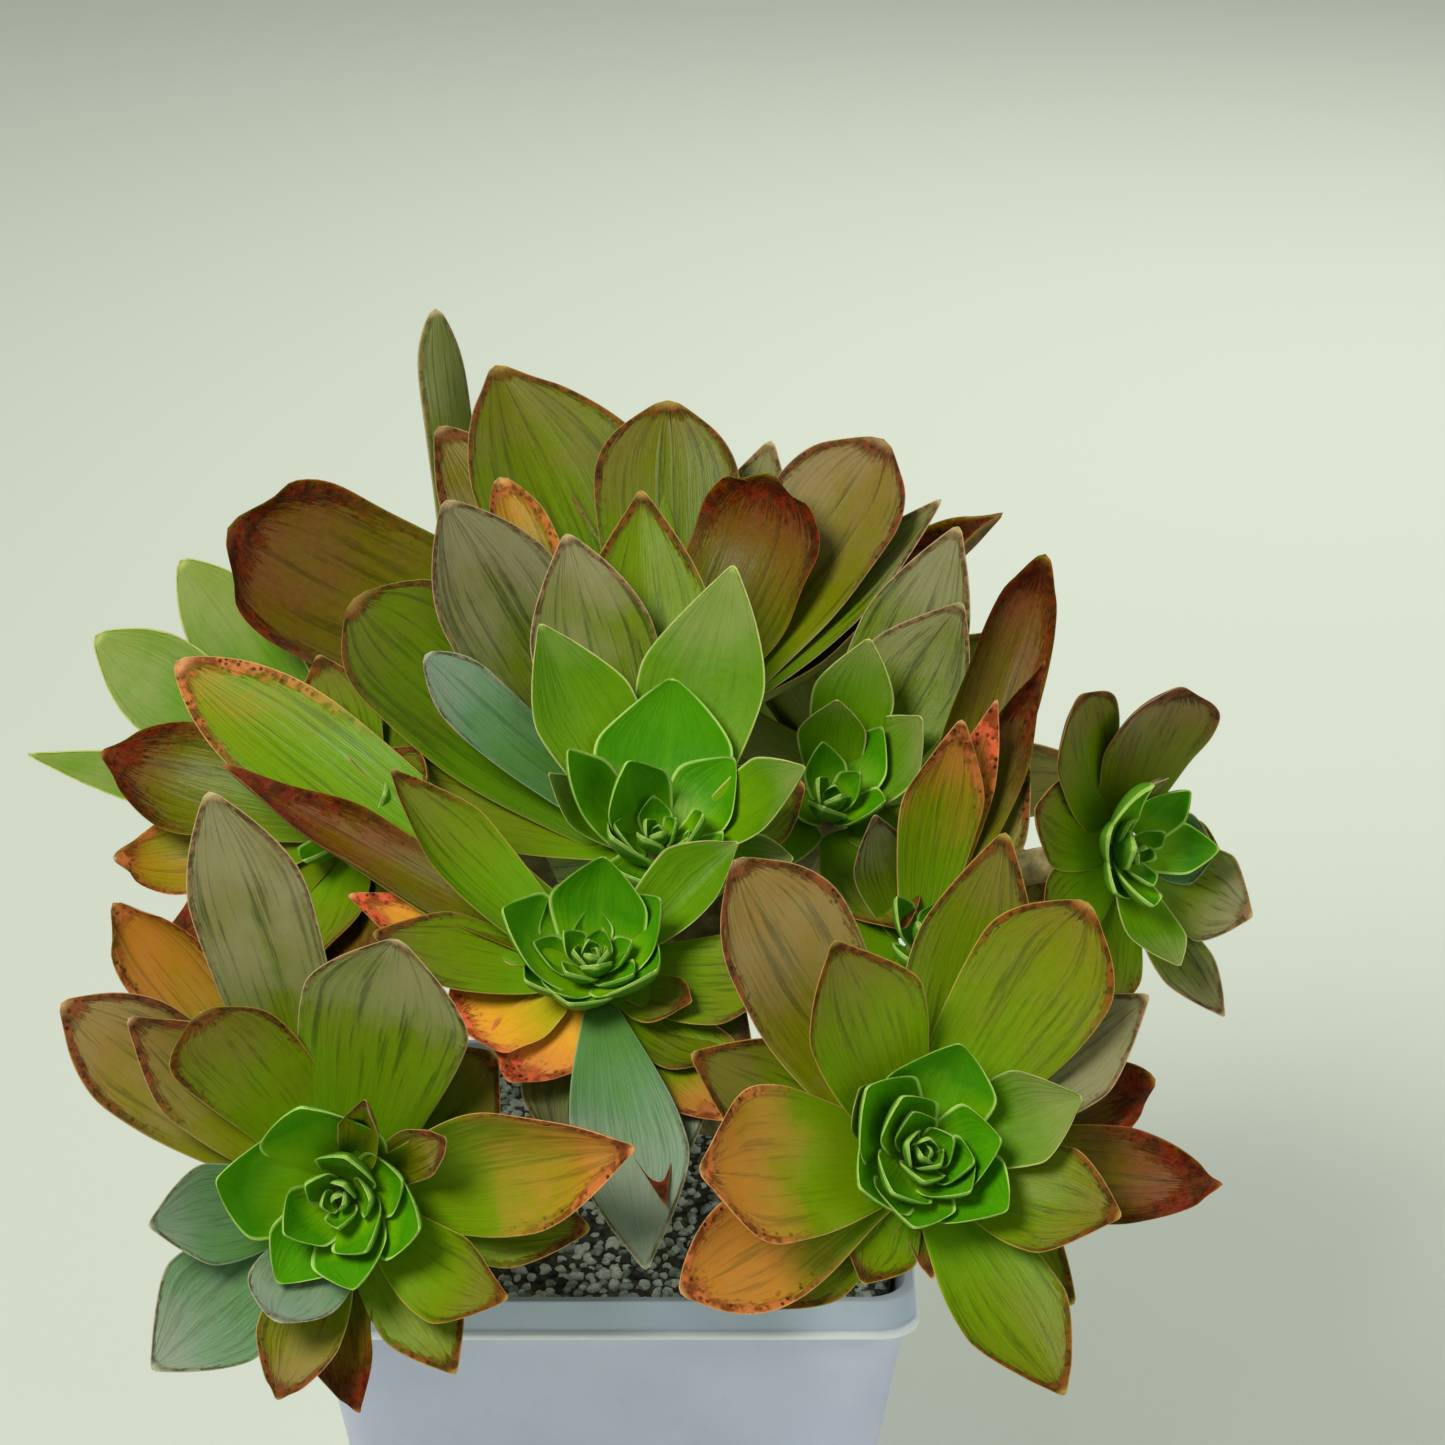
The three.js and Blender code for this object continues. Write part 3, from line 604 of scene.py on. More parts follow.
def branch_ends():
    """The middle and outward way of each flat round end of the stem's branches.

    Facets that lie in one plane are gathered into a flat. A flat is a branch end if
    all its corners are a branch's radius from its middle.
    """
    flats = []
    for face in sorted(frame["nodes"]["stem"].data.polygons, key=lambda f: -f.area):
        depth = face.normal.dot(face.center)
        for flat in flats:
            if flat["way"].dot(face.normal) > SAME_WAY and abs(flat["depth"] - depth) < SAME_DEPTH:
                flat["faces"].append(face)
                break
        else:
            flats.append({"way": face.normal.copy(), "depth": depth, "faces": [face]})
    ends = []
    corners = frame["nodes"]["stem"].data.vertices
    for flat in flats:
        area = sum(face.area for face in flat["faces"])
        middle = sum((face.center * face.area for face in flat["faces"]), Vector()) / area
        reach = [(corners[i].co - middle).length for face in flat["faces"] for i in face.vertices]
        least = (1 - ROUND_WITHIN) * BRANCH_RADIUS
        most = (1 + ROUND_WITHIN) * BRANCH_RADIUS
        half_filled = area > 2 * BRANCH_RADIUS ** 2
        if half_filled and min(reach) > least and max(reach) < most:
            ends.append((middle, flat["way"].normalized()))
    return ends


class Rosette:
    """A rosette's middle and axis, read from the branch end that it grows on."""

    def __init__(self, name, node, ends):
        self.name = name
        self.node = node
        points = node_points(node)

        def near(end):
            middle, way = end
            return sum((point - middle).length < 2 * BRANCH_RADIUS for point in points)

        middle, self.axis = max(ends, key=near)
        self.middle = middle + self.axis * HEART_ABOVE_BRANCH
        up = Vector((0, 0, 1)) - self.axis * self.axis.z
        self.up = up.normalized()
        self.across = self.up.cross(self.axis).normalized()

    def radial(self, at):
        angle = math.radians(at)
        return self.up * math.cos(angle) + self.across * math.sin(angle)

    def seat(self, at, lean, out=FOOT_OUT, drop=FOOT_DROP):
        """The frame of a leaf at a clock angle, leaning that far from the axis."""
        out_way = self.radial(at)
        angle = math.radians(lean)
        along = self.axis * math.cos(angle) + out_way * math.sin(angle)
        face = self.axis * math.sin(angle) - out_way * math.cos(angle)
        side = along.cross(face)
        foot = self.middle + out_way * out - self.axis * drop
        seat = Matrix((side, along, face)).transposed().to_4x4()
        seat.translation = foot
        return seat

    def seat_to(self, tip):
        """The frame and length of the leaf whose tip is there."""
        reach = tip - self.middle
        out_way = reach - self.axis * reach.dot(self.axis)
        at = math.degrees(math.atan2(out_way.dot(self.across), out_way.dot(self.up)))
        foot = self.middle + out_way.normalized() * FOOT_OUT - self.axis * FOOT_DROP
        blade = tip - foot
        lean = math.degrees(blade.angle(self.axis))
        return self.seat(at, lean), blade.length


def measured_leaf(rosette, node):
    """Seat, length and width of a CAD leaf, in mm."""
    points = node_points(node)
    tip = max(points, key=lambda point: (point - rosette.middle).length)
    seat, reach = rosette.seat_to(tip)
    side = seat.to_3x3().col[0]
    half = max(abs((point - tip).dot(side)) for point in points)
    return seat, reach / MM, 2 * half / MM


# The larger inner leaves of the hearts that grow unevenly: clock angle, lean,
# length and width in mm, from the outermost in
INNER_LEAVES = {
    "crown": [
        (6, 50, 24, 22), (-174, 52, 15, 15), (138, 46, 15, 13), (-72, 34, 22, 12),
        (51, 54, 16, 14), (-45, 16, 16, 14), (-129, 34, 12, 11), (102, 26, 11, 9),
    ],
    "front": [
        (9, 26, 17, 16), (-84, 42, 17, 16), (129, 46, 14, 14), (-165, 54, 13, 13),
        (63, 40, 14, 14), (-129, 54, 13, 13), (-30, 50, 12, 12),
    ],
    "left": [
        (-78, 44, 20, 18), (-12, 40, 21, 19), (96, 44, 18, 14), (156, 40, 16, 13),
        (-150, 50, 15, 13), (66, 44, 14, 11), (18, 28, 12, 11), (-126, 26, 12, 11),
        (135, 32, 12, 11),
    ],
    "right": [
        (21, 46, 18, 18), (-45, 44, 16, 16), (141, 48, 16, 15), (-111, 48, 15, 15),
        (-156, 48, 14, 14), (93, 36, 13, 14), (-27, 32, 12, 12), (-129, 38, 12, 12),
        (150, 34, 11, 11),
    ],
    "side": [
        (-24, 34, 19, 9), (-63, 44, 12, 9), (-147, 32, 12, 9), (100, 46, 12, 9),
        (40, 44, 12, 9), (-114, 46, 11, 9), (-72, 18, 9, 7),
    ],
}

# The tight spiral in the middle of each heart: how many leaves, the length of the
# outermost in mm, its lean, the share of width to length, and the innermost's
# clock angle
HEARTS = {
    "crown": dict(count=8, long=8.5, lean=36, broad=0.85, first=20),
    "front": dict(count=13, long=9, lean=50, broad=0.85, first=60),
    "left": dict(count=7, long=8.5, lean=26, broad=0.8, first=-30),
    "right": dict(count=9, long=9, lean=32, broad=1.0, first=100),
    "side": dict(count=6, long=8, lean=34, broad=0.8, first=0),
    "middle": dict(count=9, long=14, lean=46, broad=0.7, first=20),
    "top": dict(count=13, long=18, lean=52, broad=0.8, first=0),
    "between": dict(count=8, long=11, lean=50, broad=0.8, first=0),
    "far_left": dict(count=12, long=15, lean=54, broad=0.8, first=0),
    "back_left": dict(count=15, long=20, lean=58, broad=0.8, first=0),
    "back_right": dict(count=15, long=20, lean=58, broad=0.8, first=70),
    "back_low": dict(count=14, long=18, lean=58, broad=0.8, first=40),
}


def heart_core(rosette, name):
    """The short knob that the leaf feet grow from."""
    deselect()
    turn = rosette.axis.to_track_quat("Z", "Y").to_euler()
    bpy.ops.mesh.primitive_cylinder_add(
        vertices=14, radius=CORE_RADIUS, depth=CORE_HEIGHT,
        location=rosette.middle - rosette.axis * (CORE_HEIGHT / 2), rotation=turn)
    core = bpy.context.object
    core.name = name
    bpy.ops.object.mode_set(mode="EDIT")
    bpy.ops.mesh.select_mode(type="FACE")
    bpy.ops.mesh.select_all(action="DESELECT")
    bpy.ops.object.mode_set(mode="OBJECT")
    for face in core.data.polygons:
        face.select = face.normal.z > 0.9
    bpy.ops.object.mode_set(mode="EDIT")
    bpy.ops.transform.resize(value=(CORE_TOP_SHARE, CORE_TOP_SHARE, CORE_TOP_SHARE))
    bpy.ops.object.mode_set(mode="OBJECT")
    bpy.ops.object.transform_apply(location=True, rotation=True, scale=True)
    return core


def inner_leaf(rosette, number, seat, long, wide, rng):
    """A young leaf: short, pointed and cupped round the ones inside it."""
    shape = dict(
        long=long, wide=wide, point=1.25, widest=0.54, foot_width=0.7,
        thick=0.7 + 0.04 * long, bow=0.1 * long, roll=1.5 - 0.035 * long, hook=-0.05 * long,
    )
    return grow_leaf(SMALL, f"{rosette.name}_inner_{number}", seat, shape, rng)


def grow_heart(rosette, rng):
    """The larger inner leaves, then the spiral from its innermost leaf outwards."""
    spiral = HEARTS[rosette.name]
    leaves = []
    for at, lean, long, wide in INNER_LEAVES.get(rosette.name, []):
        seat = rosette.seat(at, lean, out=INNER_FOOT, drop=INNER_FOOT)
        leaves.append(inner_leaf(rosette, len(leaves) + 1, seat, long, wide, rng))
    for i in range(spiral["count"]):
        outward = i / (spiral["count"] - 1)
        long = spiral["long"] * (INNERMOST_LONG + (1 - INNERMOST_LONG) * outward)
        lean = INNERMOST_LEAN + (spiral["lean"] - INNERMOST_LEAN) * outward ** 0.75
        seat = rosette.seat(
            spiral["first"] + GOLDEN * i + rng.uniform(-5, 5),
            lean + rng.uniform(-2, 2),
            out=(0.4 + 1.8 * outward) * MM,
            drop=(0.6 + 1.7 * outward) * MM,
        )
        wide = long * spiral["broad"] * (1.25 - 0.25 * outward)
        leaves.append(inner_leaf(rosette, len(leaves) + 1, seat, long, wide, rng))
    heart = join(leaves, f"{rosette.name}_inner_leaves")
    subdivide_smooth(heart, 1)
    return heart


# What sets single leaves apart from LEAF: under their CAD node's name, or under
# ROSETTE_spare_N for row N of that rosette's SPARE_LEAVES
LOOKS = {
    "crown_leaf_1": dict(widest=0.55, age=-0.08),
    "crown_leaf_2": dict(fold=0.25, widest=0.58, age=-0.25),
    "crown_leaf_3": dict(roll=0.4, point=1.6, age=0.05),
    "crown_leaf_4": dict(fold=0.2, point=1.3, age=-0.1),
    "crown_leaf_5": dict(fold=0.3, age=-0.2),
    "crown_leaf_6": dict(point=1.8, widest=0.68, painted_light=0.75),
    "crown_leaf_7": dict(point=2.6, roll=0.3, widest=0.74, painted_light=0.66, age=-0.35),
    "front_leaf_1": dict(fold=0.5, roll=0.8, age=-0.2),
    "front_leaf_2": dict(point=2.4, foot_width=0.7, roll=0.5, widest=0.66, twist=12, age=-0.22),
    "front_leaf_3": dict(roll=1.5, age=0.15),
    "front_leaf_5": dict(age=0.2, foot_width=0.25, bow=-3.0),
    "front_leaf_7": dict(roll=1.1, hook=-1.5, age=-0.2),
    "left_leaf_3": dict(roll=0.9, hook=-2.0),
    "left_leaf_4": dict(roll=1.3, hook=3.0, bend=2.0),
    "left_leaf_5": dict(roll=0.9, bend=3.0, age=-0.1),
    "left_leaf_6": dict(point=1.6, widest=0.68, wide=25.0),
    "left_leaf_7": dict(point=1.7, widest=0.7, age=0.2),
    "left_leaf_8": dict(point=2.8, widest=0.74, age=0.1),
    "left_leaf_9": dict(point=1.8, widest=0.68, age=0.15),
    "left_leaf_10": dict(point=1.5, widest=0.55, roll=0.7, fold=0.2, turn=-18, age=0.15),
    "right_leaf_1": dict(fold=0.2, roll=0.7, age=0.1),
    "right_leaf_2": dict(fold=0.15, age=0.1),
    "right_leaf_3": dict(roll=0.8, hook=2.0),
    "right_leaf_4": dict(point=2.2, age=0.35),
    "right_leaf_5": dict(point=1.8, roll=0.5, crimp=0.5, widest=0.62, age=0.1, painted_light=1.12),
    "right_leaf_6": dict(point=1.3, fold=0.15, age=0.05, painted_light=1.2),
    "right_leaf_7": dict(point=2.0, widest=0.68, age=0.15, painted_light=1.12),
    "right_leaf_8": dict(point=1.9, widest=0.7, age=-0.05, painted_light=1.15),
    "right_leaf_9": dict(age=0.2),
    "right_leaf_10": dict(roll=1.0, crimp=1.2, hook=-3.0, age=0.1),
    "side_leaf_1": dict(point=2.0, widest=0.68, painted_light=0.8),
    "side_leaf_2": dict(point=2.0, widest=0.66, painted_light=0.85),
    "top_leaf_1": dict(point=1.7, fold=0.25, painted_light=0.9, wide=32.0),
    "top_leaf_2": dict(point=2.4, widest=0.7, painted_light=0.85),
    "top_leaf_3": dict(point=2.6, widest=0.7, painted_light=0.85),
    "top_leaf_4": dict(point=2.4, widest=0.74, hook=-6.0, crimp=0.9, turn=32, wide=32.0, age=-0.1),
    "top_leaf_5": dict(point=2.0, widest=0.7, hook=-6.0, crimp=1.0, roll=0.8),
    "top_leaf_6": dict(roll=1.6, crimp=1.0),
    "crown_spare_1": dict(point=2.2, widest=0.76),
    "crown_spare_5": dict(point=2.6, widest=0.8, roll=1.2, hook=-2.0),
    "left_spare_1": dict(age=0.15, roll=1.3, hook=-4.0, crimp=0.8, point=2.2, widest=0.7),
    "left_spare_3": dict(roll=1.3, fold=0.2),
    "left_spare_5": dict(point=2.6, widest=0.6),
    "left_spare_9": dict(long=29.0, painted_light=0.8),
    "right_spare_1": dict(crimp=1.5, hook=-3.0, roll=0.9, point=2.4),
    "front_spare_3": dict(foot_width=0.3),
    "front_spare_9": dict(wide=20.0, long=23.0, painted_light=0.8),
    "top_spare_1": dict(point=1.7, painted_light=0.9, turn=20),
    "between_spare_5": dict(roll=1.5, hook=-7.0, crimp=1.0, point=2.2, widest=0.7),
    "between_spare_6": dict(roll=1.5, hook=-3.0, crimp=0.8),
    "far_left_spare_1": dict(point=1.9, widest=0.7),
    "far_left_spare_2": dict(point=1.9, widest=0.7),
    "far_left_spare_3": dict(point=1.7, roll=1.0, hook=-3.0),
    "far_left_spare_5": dict(roll=1.2, hook=-5.0, crimp=1.0, point=2.0),
    "back_left_spare_1": dict(point=2.4, widest=0.8, foot_width=0.6, wide=9.0, painted_light=0.9),
}

# How the leaves of each finish curl and wave, where LOOKS doesn't say otherwise
BY_FINISH = {
    "leaf_fresh": dict(roll=0.4),
    "leaf_olive": dict(roll=0.4, crimp=0.15),
    "leaf_bronze": dict(roll=0.5, crimp=0.3),
    "leaf_rust": dict(roll=0.8, crimp=0.7),
    "leaf_blush": dict(roll=0.5, crimp=0.4),
    "leaf_amber": dict(roll=0.5, crimp=0.4),
    "leaf_grey": dict(roll=0.35),
    "leaf_dusky": dict(roll=0.35),
}

# Leaves that are one CAD piece with their rosette's heart or with the whole
# rosette: clock angle, lean, length and width in mm, and finish
SPARE_LEAVES = {
    "crown": [
        (-60, 60, 43, 12, "leaf_dusky"), (-80, 42, 20, 9, "leaf_fresh"),
        (-52, 38, 16, 7, "leaf_fresh"), (102, 80, 18, 11, "leaf_fresh"),
        (-22, 80, 66, 12, "leaf_amber"), (-76, 80, 46, 17, "leaf_olive"),
        (62, 88, 22, 17, "leaf_olive"),
    ],
    "front": [
        (-70, 88, 36, 12, "leaf_blush"), (120, 75, 14, 10, "leaf_olive"),
        (154, 101, 29, 20, "leaf_dusky"), (-146, 98, 19, 16, "leaf_blush"),
        (164, 98, 37, 8, "leaf_rust"), (-86, 78, 30, 14, "leaf_olive"),
        (96, 84, 26, 17, "leaf_olive"), (-172, 112, 26, 16, "leaf_grey"),
        (118, 96, 20, 16, "leaf_olive"),
    ],
    "left": [
        (-40, 86, 52, 16, "leaf_amber"), (-50, 71, 38, 17, "leaf_bronze"),
        (22, 38, 25, 8, "leaf_bronze"), (56, 50, 24, 8, "leaf_bronze"),
        (-160, 46, 20, 14, "leaf_dusky"), (140, 74, 28, 14, "leaf_olive"),
        (92, 84, 34, 16, "leaf_olive"), (0, 92, 30, 18, "leaf_rust"),
        (44, 82, 38, 20, "leaf_olive"),
    ],
    "right": [
        (80, 88, 35, 15, "leaf_rust"), (-176, 84, 15, 5, "leaf_bronze"),
        (-146, 84, 18, 12, "leaf_olive"), (22, 76, 46, 18, "leaf_olive"),
        (-48, 42, 16, 9, "leaf_fresh"), (-124, 90, 30, 16, "leaf_olive"),
        (-60, 84, 34, 17, "leaf_olive"), (140, 92, 28, 15, "leaf_olive"),
    ],
    "side": [
        (102, 52, 11, 11, "leaf_dusky"), (-168, 46, 19, 11, "leaf_fresh"),
        (-4, 30, 17, 6, "leaf_grey"), (-62, 66, 24, 14, "leaf_olive"),
        (-110, 70, 22, 13, "leaf_olive"), (112, 76, 14, 14, "leaf_olive"),
        (-150, 80, 24, 14, "leaf_olive"),
    ],
    "middle": [
        (20, 40, 26, 13, "leaf_fresh"), (6, 28, 17, 11, "leaf_fresh"),
        (62, 42, 19, 12, "leaf_fresh"), (32, 66, 47, 17, "leaf_grey"),
        (120, 66, 22, 13, "leaf_olive"), (-120, 62, 18, 12, "leaf_fresh"),
        (165, 75, 24, 15, "leaf_olive"),
    ],
    "top": [
        (-40, 62, 62, 22, "leaf_bronze"), (20, 60, 52, 18, "leaf_grey"),
        (-80, 74, 58, 20, "leaf_rust"), (62, 58, 54, 15, "leaf_grey"),
        (-20, 80, 38, 19, "leaf_olive"), (26, 80, 38, 19, "leaf_olive"),
    ],
    "between": [
        (28, 36, 34, 13, "leaf_amber"), (40, 41, 38, 8, "leaf_blush"),
        (58, 50, 31, 11, "leaf_bronze"), (58, 62, 18, 8, "leaf_blush"),
        (42, 56, 64, 17, "leaf_rust"), (49, 48, 47, 11, "leaf_rust"),
        (-10, 45, 20, 12, "leaf_grey"), (-60, 70, 22, 13, "leaf_olive"),
        (-110, 76, 26, 14, "leaf_olive"), (160, 82, 26, 14, "leaf_olive"),
        (110, 80, 24, 14, "leaf_rust"), (80, 78, 24, 14, "leaf_bronze"),
    ],
    "far_left": [
        (-84, 70, 55, 16, "leaf_fresh"), (-66, 75, 55, 15, "leaf_fresh"),
        (-106, 62, 41, 20, "leaf_rust"), (-104, 78, 62, 9, "leaf_fresh"),
        (-130, 74, 38, 18, "leaf_amber"), (-40, 66, 24, 16, "leaf_olive"),
        (8, 80, 20, 14, "leaf_olive"), (60, 66, 18, 15, "leaf_olive"),
        (-158, 74, 34, 17, "leaf_rust"), (150, 70, 30, 16, "leaf_olive"),
        (130, 78, 32, 18, "leaf_rust"),
    ],
    "back_left": [
        (-7, 43, 66, 13, "leaf_grey"), (34, 60, 40, 19, "leaf_bronze"),
        (72, 66, 44, 21, "leaf_olive"), (118, 70, 40, 20, "leaf_grey"),
        (166, 74, 38, 19, "leaf_bronze"), (-142, 70, 42, 20, "leaf_olive"),
        (-92, 66, 44, 21, "leaf_rust"), (-42, 60, 42, 20, "leaf_olive"),
        (-68, 84, 44, 19, "leaf_olive"), (142, 86, 40, 18, "leaf_rust"),
    ],
    "back_right": [
        (0, 58, 40, 21, "leaf_olive"), (50, 64, 42, 21, "leaf_bronze"),
        (102, 70, 42, 20, "leaf_olive"), (154, 74, 38, 19, "leaf_grey"),
        (-150, 72, 38, 19, "leaf_olive"), (-98, 66, 40, 20, "leaf_bronze"),
        (-50, 62, 40, 21, "leaf_olive"), (78, 86, 44, 18, "leaf_rust"),
        (-124, 88, 40, 18, "leaf_olive"),
    ],
    "back_low": [
        (-36, 60, 30, 18, "leaf_olive"), (14, 64, 32, 18, "leaf_fresh"),
        (66, 68, 34, 19, "leaf_olive"), (112, 72, 32, 18, "leaf_grey"),
        (160, 70, 28, 17, "leaf_olive"), (-146, 72, 30, 18, "leaf_amber"),
        (-92, 68, 34, 19, "leaf_olive"),
    ],
}


def leaf_pieces(rosette, rng):
    """Every leaf that is a CAD node of its own, grown again in full detail."""
    prefix = f"{rosette.name}_leaf_"
    for node in sorted(n for n in frame["nodes"] if n.startswith(prefix)):
        seat, long, wide = measured_leaf(rosette, node)
        finish = SLOT_OF[node]
        shape = {**BY_FINISH[finish], "long": long, "wide": wide, **LOOKS.get(node, {})}
        piece = grow_leaf(LARGE, f"{node}_blade", seat, shape, rng)
        subdivide_smooth(piece, 1)
        dress(piece, FINISHES[finish], finish, node)


def spare_leaves(rosette, rng):
    """The leaves that are one CAD piece with the heart, one piece for each finish."""
    grown = {}
    for i, (at, lean, long, wide, finish) in enumerate(SPARE_LEAVES[rosette.name]):
        seat = rosette.seat(at, lean, out=SPARE_FOOT_OUT)
        name = f"{rosette.name}_spare_{i + 1}"
        shape = {**BY_FINISH[finish], "long": long, "wide": wide, **LOOKS.get(name, {})}
        leaf = grow_leaf(MEDIUM, name, seat, shape, rng)
        grown.setdefault(finish, []).append(leaf)
    for finish, leaves in grown.items():
        piece = join(leaves, f"{rosette.name}_{finish}_leaves")
        subdivide_smooth(piece, 1)
        dress(piece, FINISHES[finish], finish, rosette.node)


def make_rosettes():
    """Every rosette. Each has its heart, the knob under it and its leaves."""
    rng = random.Random(11)
    ends = branch_ends()
    for name in ROSETTES + WHOLE_ROSETTES:
        node = f"{name}_heart" if name in ROSETTES else f"{name}_rosette"
        rosette = Rosette(name, node, ends)
        dress(grow_heart(rosette, rng), FINISHES["leaf_heart"], "leaf_heart", node)
        core = heart_core(rosette, f"{name}_core")
        subdivide_smooth(core, 2)
        dress(core, STEM_BARK, "stem")
        spare_leaves(rosette, rng)
        leaf_pieces(rosette, rng)


# ---- stem, pot and potting mix --------------------------------------------

def merged_copy(node, name):
    """A copy of a CAD node's mesh with its loose triangles sewn together."""
    piece = bpy.data.objects.new(name, frame["nodes"][node].data.copy())
    bpy.context.scene.collection.objects.link(piece)
    piece.data.materials.clear()
    only(piece)
    bpy.ops.object.mode_set(mode="EDIT")
    bpy.ops.mesh.select_all(action="SELECT")
    bpy.ops.mesh.remove_doubles(threshold=SEWN_WITHIN)
    bpy.ops.object.mode_set(mode="OBJECT")
    return piece


def make_stem():
    """The CAD's stem with an even mesh and its joins softened."""
    stem = merged_copy("stem", "branching_stem")
    remesh = stem.modifiers.new("even", "REMESH")
    remesh.mode = "VOXEL"
    remesh.voxel_size = 0.9 * MM
    smooth = stem.modifiers.new("soften", "SMOOTH")
    smooth.factor = 0.6
    smooth.iterations = 6
    apply_modifiers(stem)
    only(stem)
    bpy.ops.object.shade_smooth()
    dress(stem, STEM_BARK, "stem", "stem")


def make_pot():
    """One shell, drawn up ring by ring from its base, over the rim and down inside."""
    low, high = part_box("pot")
    half_top = high.x - BEAD
    height = high.z
    # the base's half width, from the CAD's lowest points
    half_base = max(point.x for point in node_points("pot") if point.z < SEWN_WITHIN)
    band_foot = height - BAND_HEIGHT

    def half_at(z):
        return half_base + (half_top - half_base) * z / height

    deselect()
    bpy.ops.mesh.primitive_plane_add(size=2 * half_base)
    pot = bpy.context.object
    pot.name = "square_pot"
    bpy.ops.object.mode_set(mode="EDIT")
    bpy.ops.mesh.select_all(action="SELECT")
    bpy.ops.mesh.flip_normals()
    corner = POT_CORNER * half_base / half_top
    bpy.ops.mesh.bevel(affect="VERTICES", offset=corner, offset_type="OFFSET", segments=10, profile=0.5)
    rings = [
        (half_at(band_foot), band_foot),
        (half_top + BEAD, band_foot + 0.4 * BEAD),
        (half_top + BEAD, band_foot + 1.4 * BEAD),
        (half_top, band_foot + 2.0 * BEAD),
        (half_top, height),
        (half_top - POT_WALL, height),
        (half_at(band_foot) - POT_WALL, band_foot),
        (half_base - POT_WALL, POT_WALL),
    ]
    now_half, now_z = half_base, 0.0
    for half, z in rings:
        bpy.ops.mesh.extrude_region_move(TRANSFORM_OT_translate={"value": (0, 0, z - now_z)})
        share = half / now_half
        bpy.ops.transform.resize(value=(share, share, 1), center_override=(0, 0, z))
        now_half, now_z = half, z
    bpy.ops.mesh.select_all(action="SELECT")
    bpy.ops.mesh.normals_make_consistent(inside=False)
    bpy.ops.object.mode_set(mode="OBJECT")
    for x in (-HOLE_FROM_MIDDLE, HOLE_FROM_MIDDLE):
        for y in (-HOLE_FROM_MIDDLE, HOLE_FROM_MIDDLE):
            cut_hole(pot, x, y)
    bevel = pot.modifiers.new("soft_edges", "BEVEL")
    bevel.width = 0.25 * MM
    bevel.segments = 3
    bevel.limit_method = "ANGLE"
    bevel.angle_limit = math.radians(28)
    apply_modifiers(pot)
    only(pot)
    bpy.ops.object.shade_smooth_by_angle(angle=math.radians(35))
    dress(pot, pot_plastic(band_foot), "pot", "pot")


def cut_hole(pot, x, y):
    """A drain hole through the pot's base."""
    deselect()
    bpy.ops.mesh.primitive_cylinder_add(
        vertices=32, radius=HOLE_RADIUS, depth=4 * POT_WALL, location=(x, y, 0))
    drill = bpy.context.object
    cut = pot.modifiers.new("hole", "BOOLEAN")
    cut.operation = "DIFFERENCE"
    cut.solver = "EXACT"
    cut.object = drill
    apply_modifiers(pot)
    bpy.data.objects.remove(drill)


def make_mix():
    """The mix's body, and the loose grains that cover its top."""
    body = merged_copy("potting_mix", "mix_body")
    dress(body, soil_finish(), "potting_mix", "potting_mix")
    low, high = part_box("potting_mix")
    rng = random.Random(5)
    templates = [grain_template(k, rng) for k in range(GRAIN_SHAPES)]
    finishes = {
        "pale_grit": grain_finish("pale_grit", tint(176, 190, 176), tint(226, 232, 220)),
        "grey_grit": grain_finish("grey_grit", tint(120, 132, 124), tint(176, 186, 176)),
        "dark_grit": grain_finish("dark_grit", tint(34, 36, 34), tint(76, 76, 70)),
    }
    shares = [6, 4, 2]
    grains = {name: [] for name in finishes}
    span = high.x - low.x - 2 * GRAIN_CLEAR_OF_POT
    step = span / GRAIN_ROWS
    for row in range(GRAIN_ROWS):
        for column in range(GRAIN_ROWS):
            x = -span / 2 + step * (row + 0.5 + rng.uniform(-0.5, 0.5))
            y = -span / 2 + step * (column + 0.5 + rng.uniform(-0.5, 0.5))
            edge = max(abs(x), abs(y)) / (span / 2)
            z = high.z - MOUND_FALL * edge ** 2 + rng.uniform(-GRAIN_SUNK, GRAIN_PROUD)
            size = rng.uniform(GRAIN_MIN, GRAIN_MAX)
            name = rng.choices(list(finishes), shares)[0]
            template = rng.choice(templates)
            grain = bpy.data.objects.new("grain", template.data.copy())
            spin = Matrix.Rotation(rng.uniform(0, 6.28), 4, "Z")
            turn = spin @ Matrix.Rotation(rng.uniform(0, 6.28), 4, "X")
            grain.data.transform(Matrix.Translation((x, y, z)) @ turn @ Matrix.Scale(size, 4))
            bpy.context.scene.collection.objects.link(grain)
            grains[name].append(grain)
    for name, finish in finishes.items():
        piece = join(grains[name], name)
        dress(piece, finish, "potting_mix")
    for template in templates:
        bpy.data.objects.remove(template)


def grain_template(k, rng):
    """One angular crumb of stone, about 1 in radius."""
    deselect()
    bpy.ops.mesh.primitive_ico_sphere_add(subdivisions=1, radius=1)
    grain = bpy.context.object
    grain.name = f"grain_{k}"
    for vertex in grain.data.vertices:
        vertex.co *= rng.uniform(0.7, 1.1)
        vertex.co.z *= 0.75
    bevel = grain.modifiers.new("chips", "BEVEL")
    bevel.width = 0.12
    bevel.segments = 1
    apply_modifiers(grain)
    return grain


# ---- stage ------------------------------------------------------------------

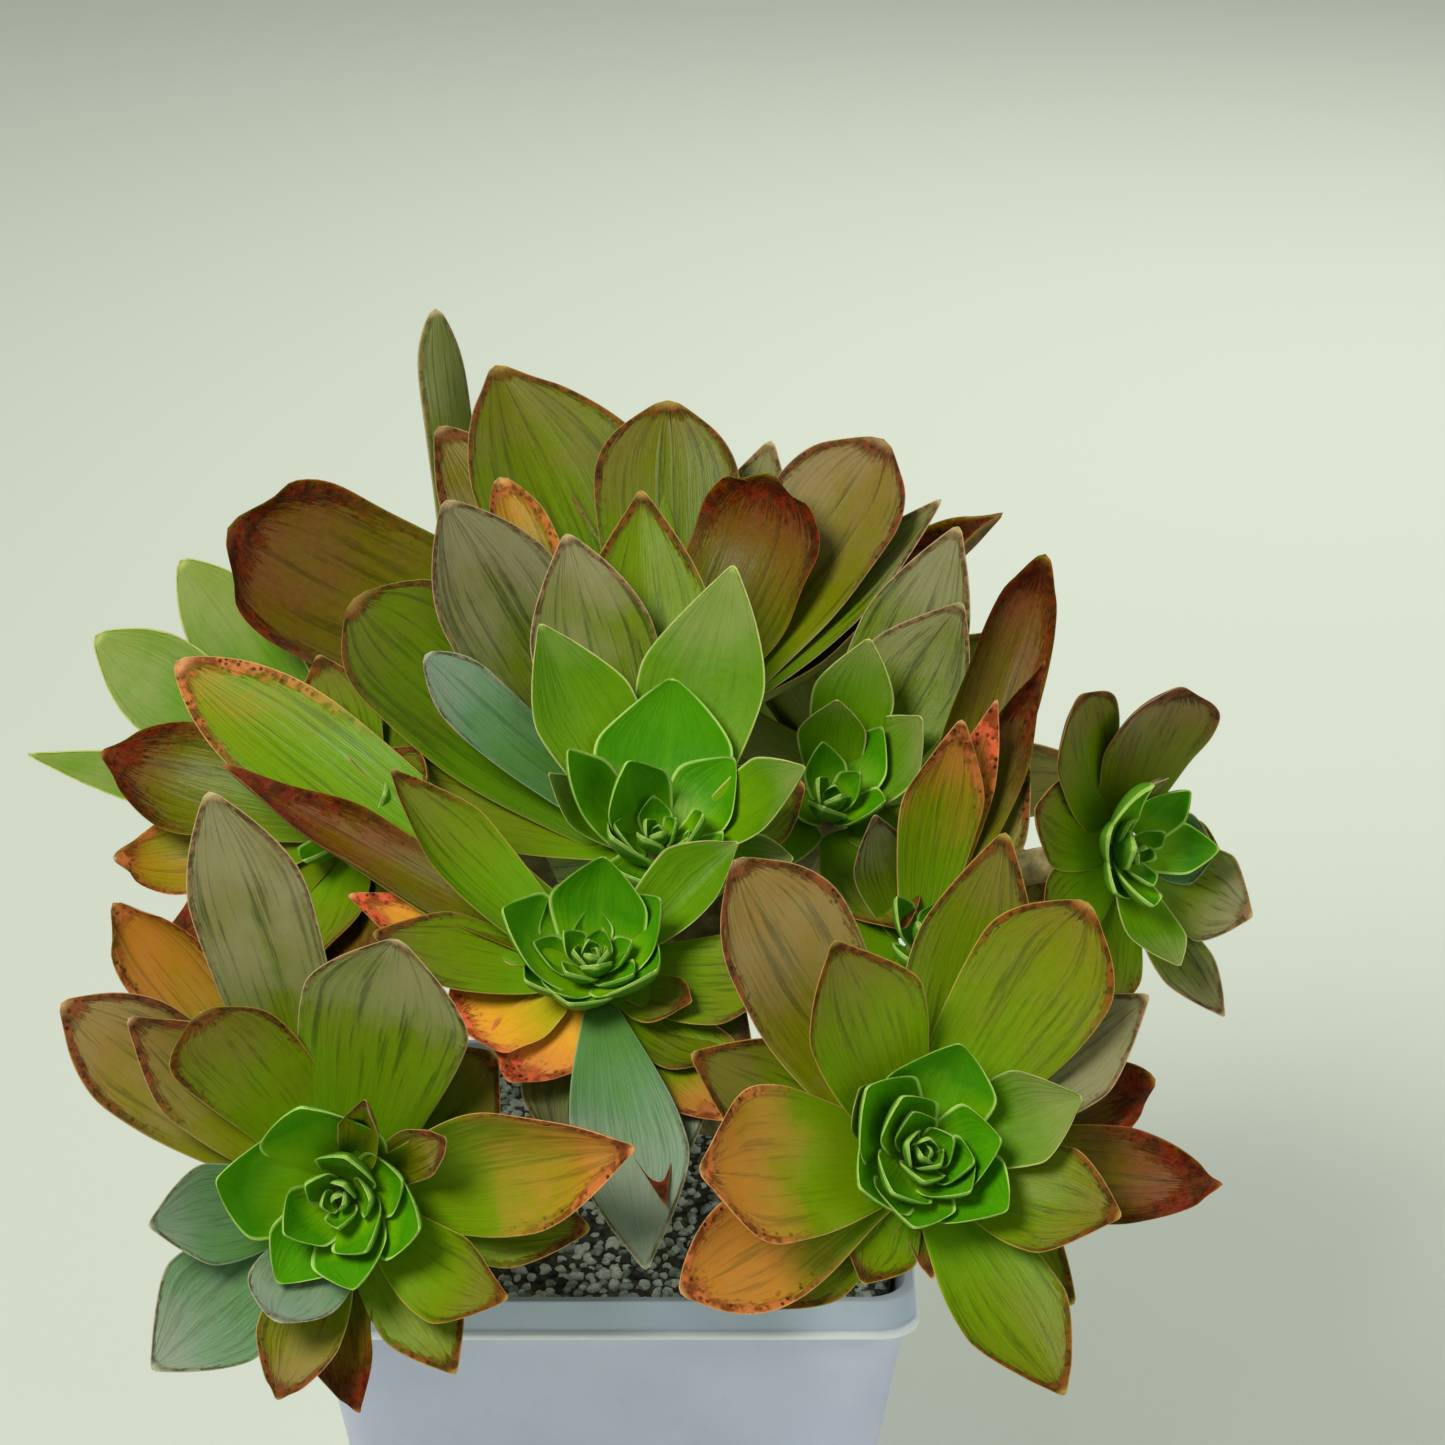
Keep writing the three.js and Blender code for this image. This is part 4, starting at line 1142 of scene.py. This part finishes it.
def area_light(name, place, size, power, colour):
    data = bpy.data.lights.new(name, "AREA")
    data.shape = "DISK"
    data.size = size
    data.energy = power
    data.color = colour
    light = bpy.data.objects.new(name, data)
    light.location = place
    way = Vector(LIGHT_AIM) - Vector(place)
    light.rotation_euler = way.to_track_quat("-Z", "Y").to_euler()
    bpy.context.scene.collection.objects.link(light)


def make_stage():
    """A pale floor, an even sky and three soft lights."""
    deselect()
    bpy.ops.mesh.primitive_plane_add(size=12)
    floor = bpy.context.object
    floor.name = "floor"
    g = Graph("pale_floor")
    cloud = g.noise(g.object_place(), 0.8, 2.0)
    g.put(g.shader.inputs["Base Color"], g.mix(cloud, tint(194, 202, 186), tint(208, 212, 202)))
    g.shader.inputs["Roughness"].default_value = 0.9
    floor.data.materials.append(g.material)

    world = bpy.data.worlds.new("soft_daylight")
    bpy.context.scene.world = world
    world.use_nodes = True
    sky = world.node_tree.nodes["Background"]
    sky.inputs["Color"].default_value = tint(226, 234, 226)
    sky.inputs["Strength"].default_value = SKY_STRENGTH
    area_light("key", place=(-0.45, -0.55, 0.85), size=0.42, power=9.0, colour=(1.0, 0.98, 0.93))
    area_light("fill", place=(0.75, -0.45, 0.4), size=0.7, power=1.6, colour=(0.94, 0.98, 1.0))
    area_light("back", place=(0.25, 0.8, 0.7), size=0.5, power=5.5, colour=(1.0, 1.0, 0.96))


def make_camera():
    """The view from the front, looking a little down on the plant."""
    aim = Vector(CAMERA_AIM)
    rise = math.radians(CAMERA_RISE)
    data = bpy.data.cameras.new("camera")
    data.lens = CAMERA_LENS
    data.sensor_width = 36.0
    data.clip_start = 0.01
    camera = bpy.data.objects.new("camera", data)
    camera.location = aim + Vector((0, -math.cos(rise), math.sin(rise))) * CAMERA_DISTANCE
    camera.rotation_euler = (aim - camera.location).to_track_quat("-Z", "Y").to_euler()
    bpy.context.scene.collection.objects.link(camera)
    bpy.context.scene.camera = camera


STEM_BARK = stem_bark()
bpy.context.scene.view_settings.view_transform = "Standard"
make_stage()
make_camera()
make_pot()
make_mix()
make_stem()
make_rosettes()
for blank in (LARGE, MEDIUM, SMALL):
    bpy.data.objects.remove(blank.piece)
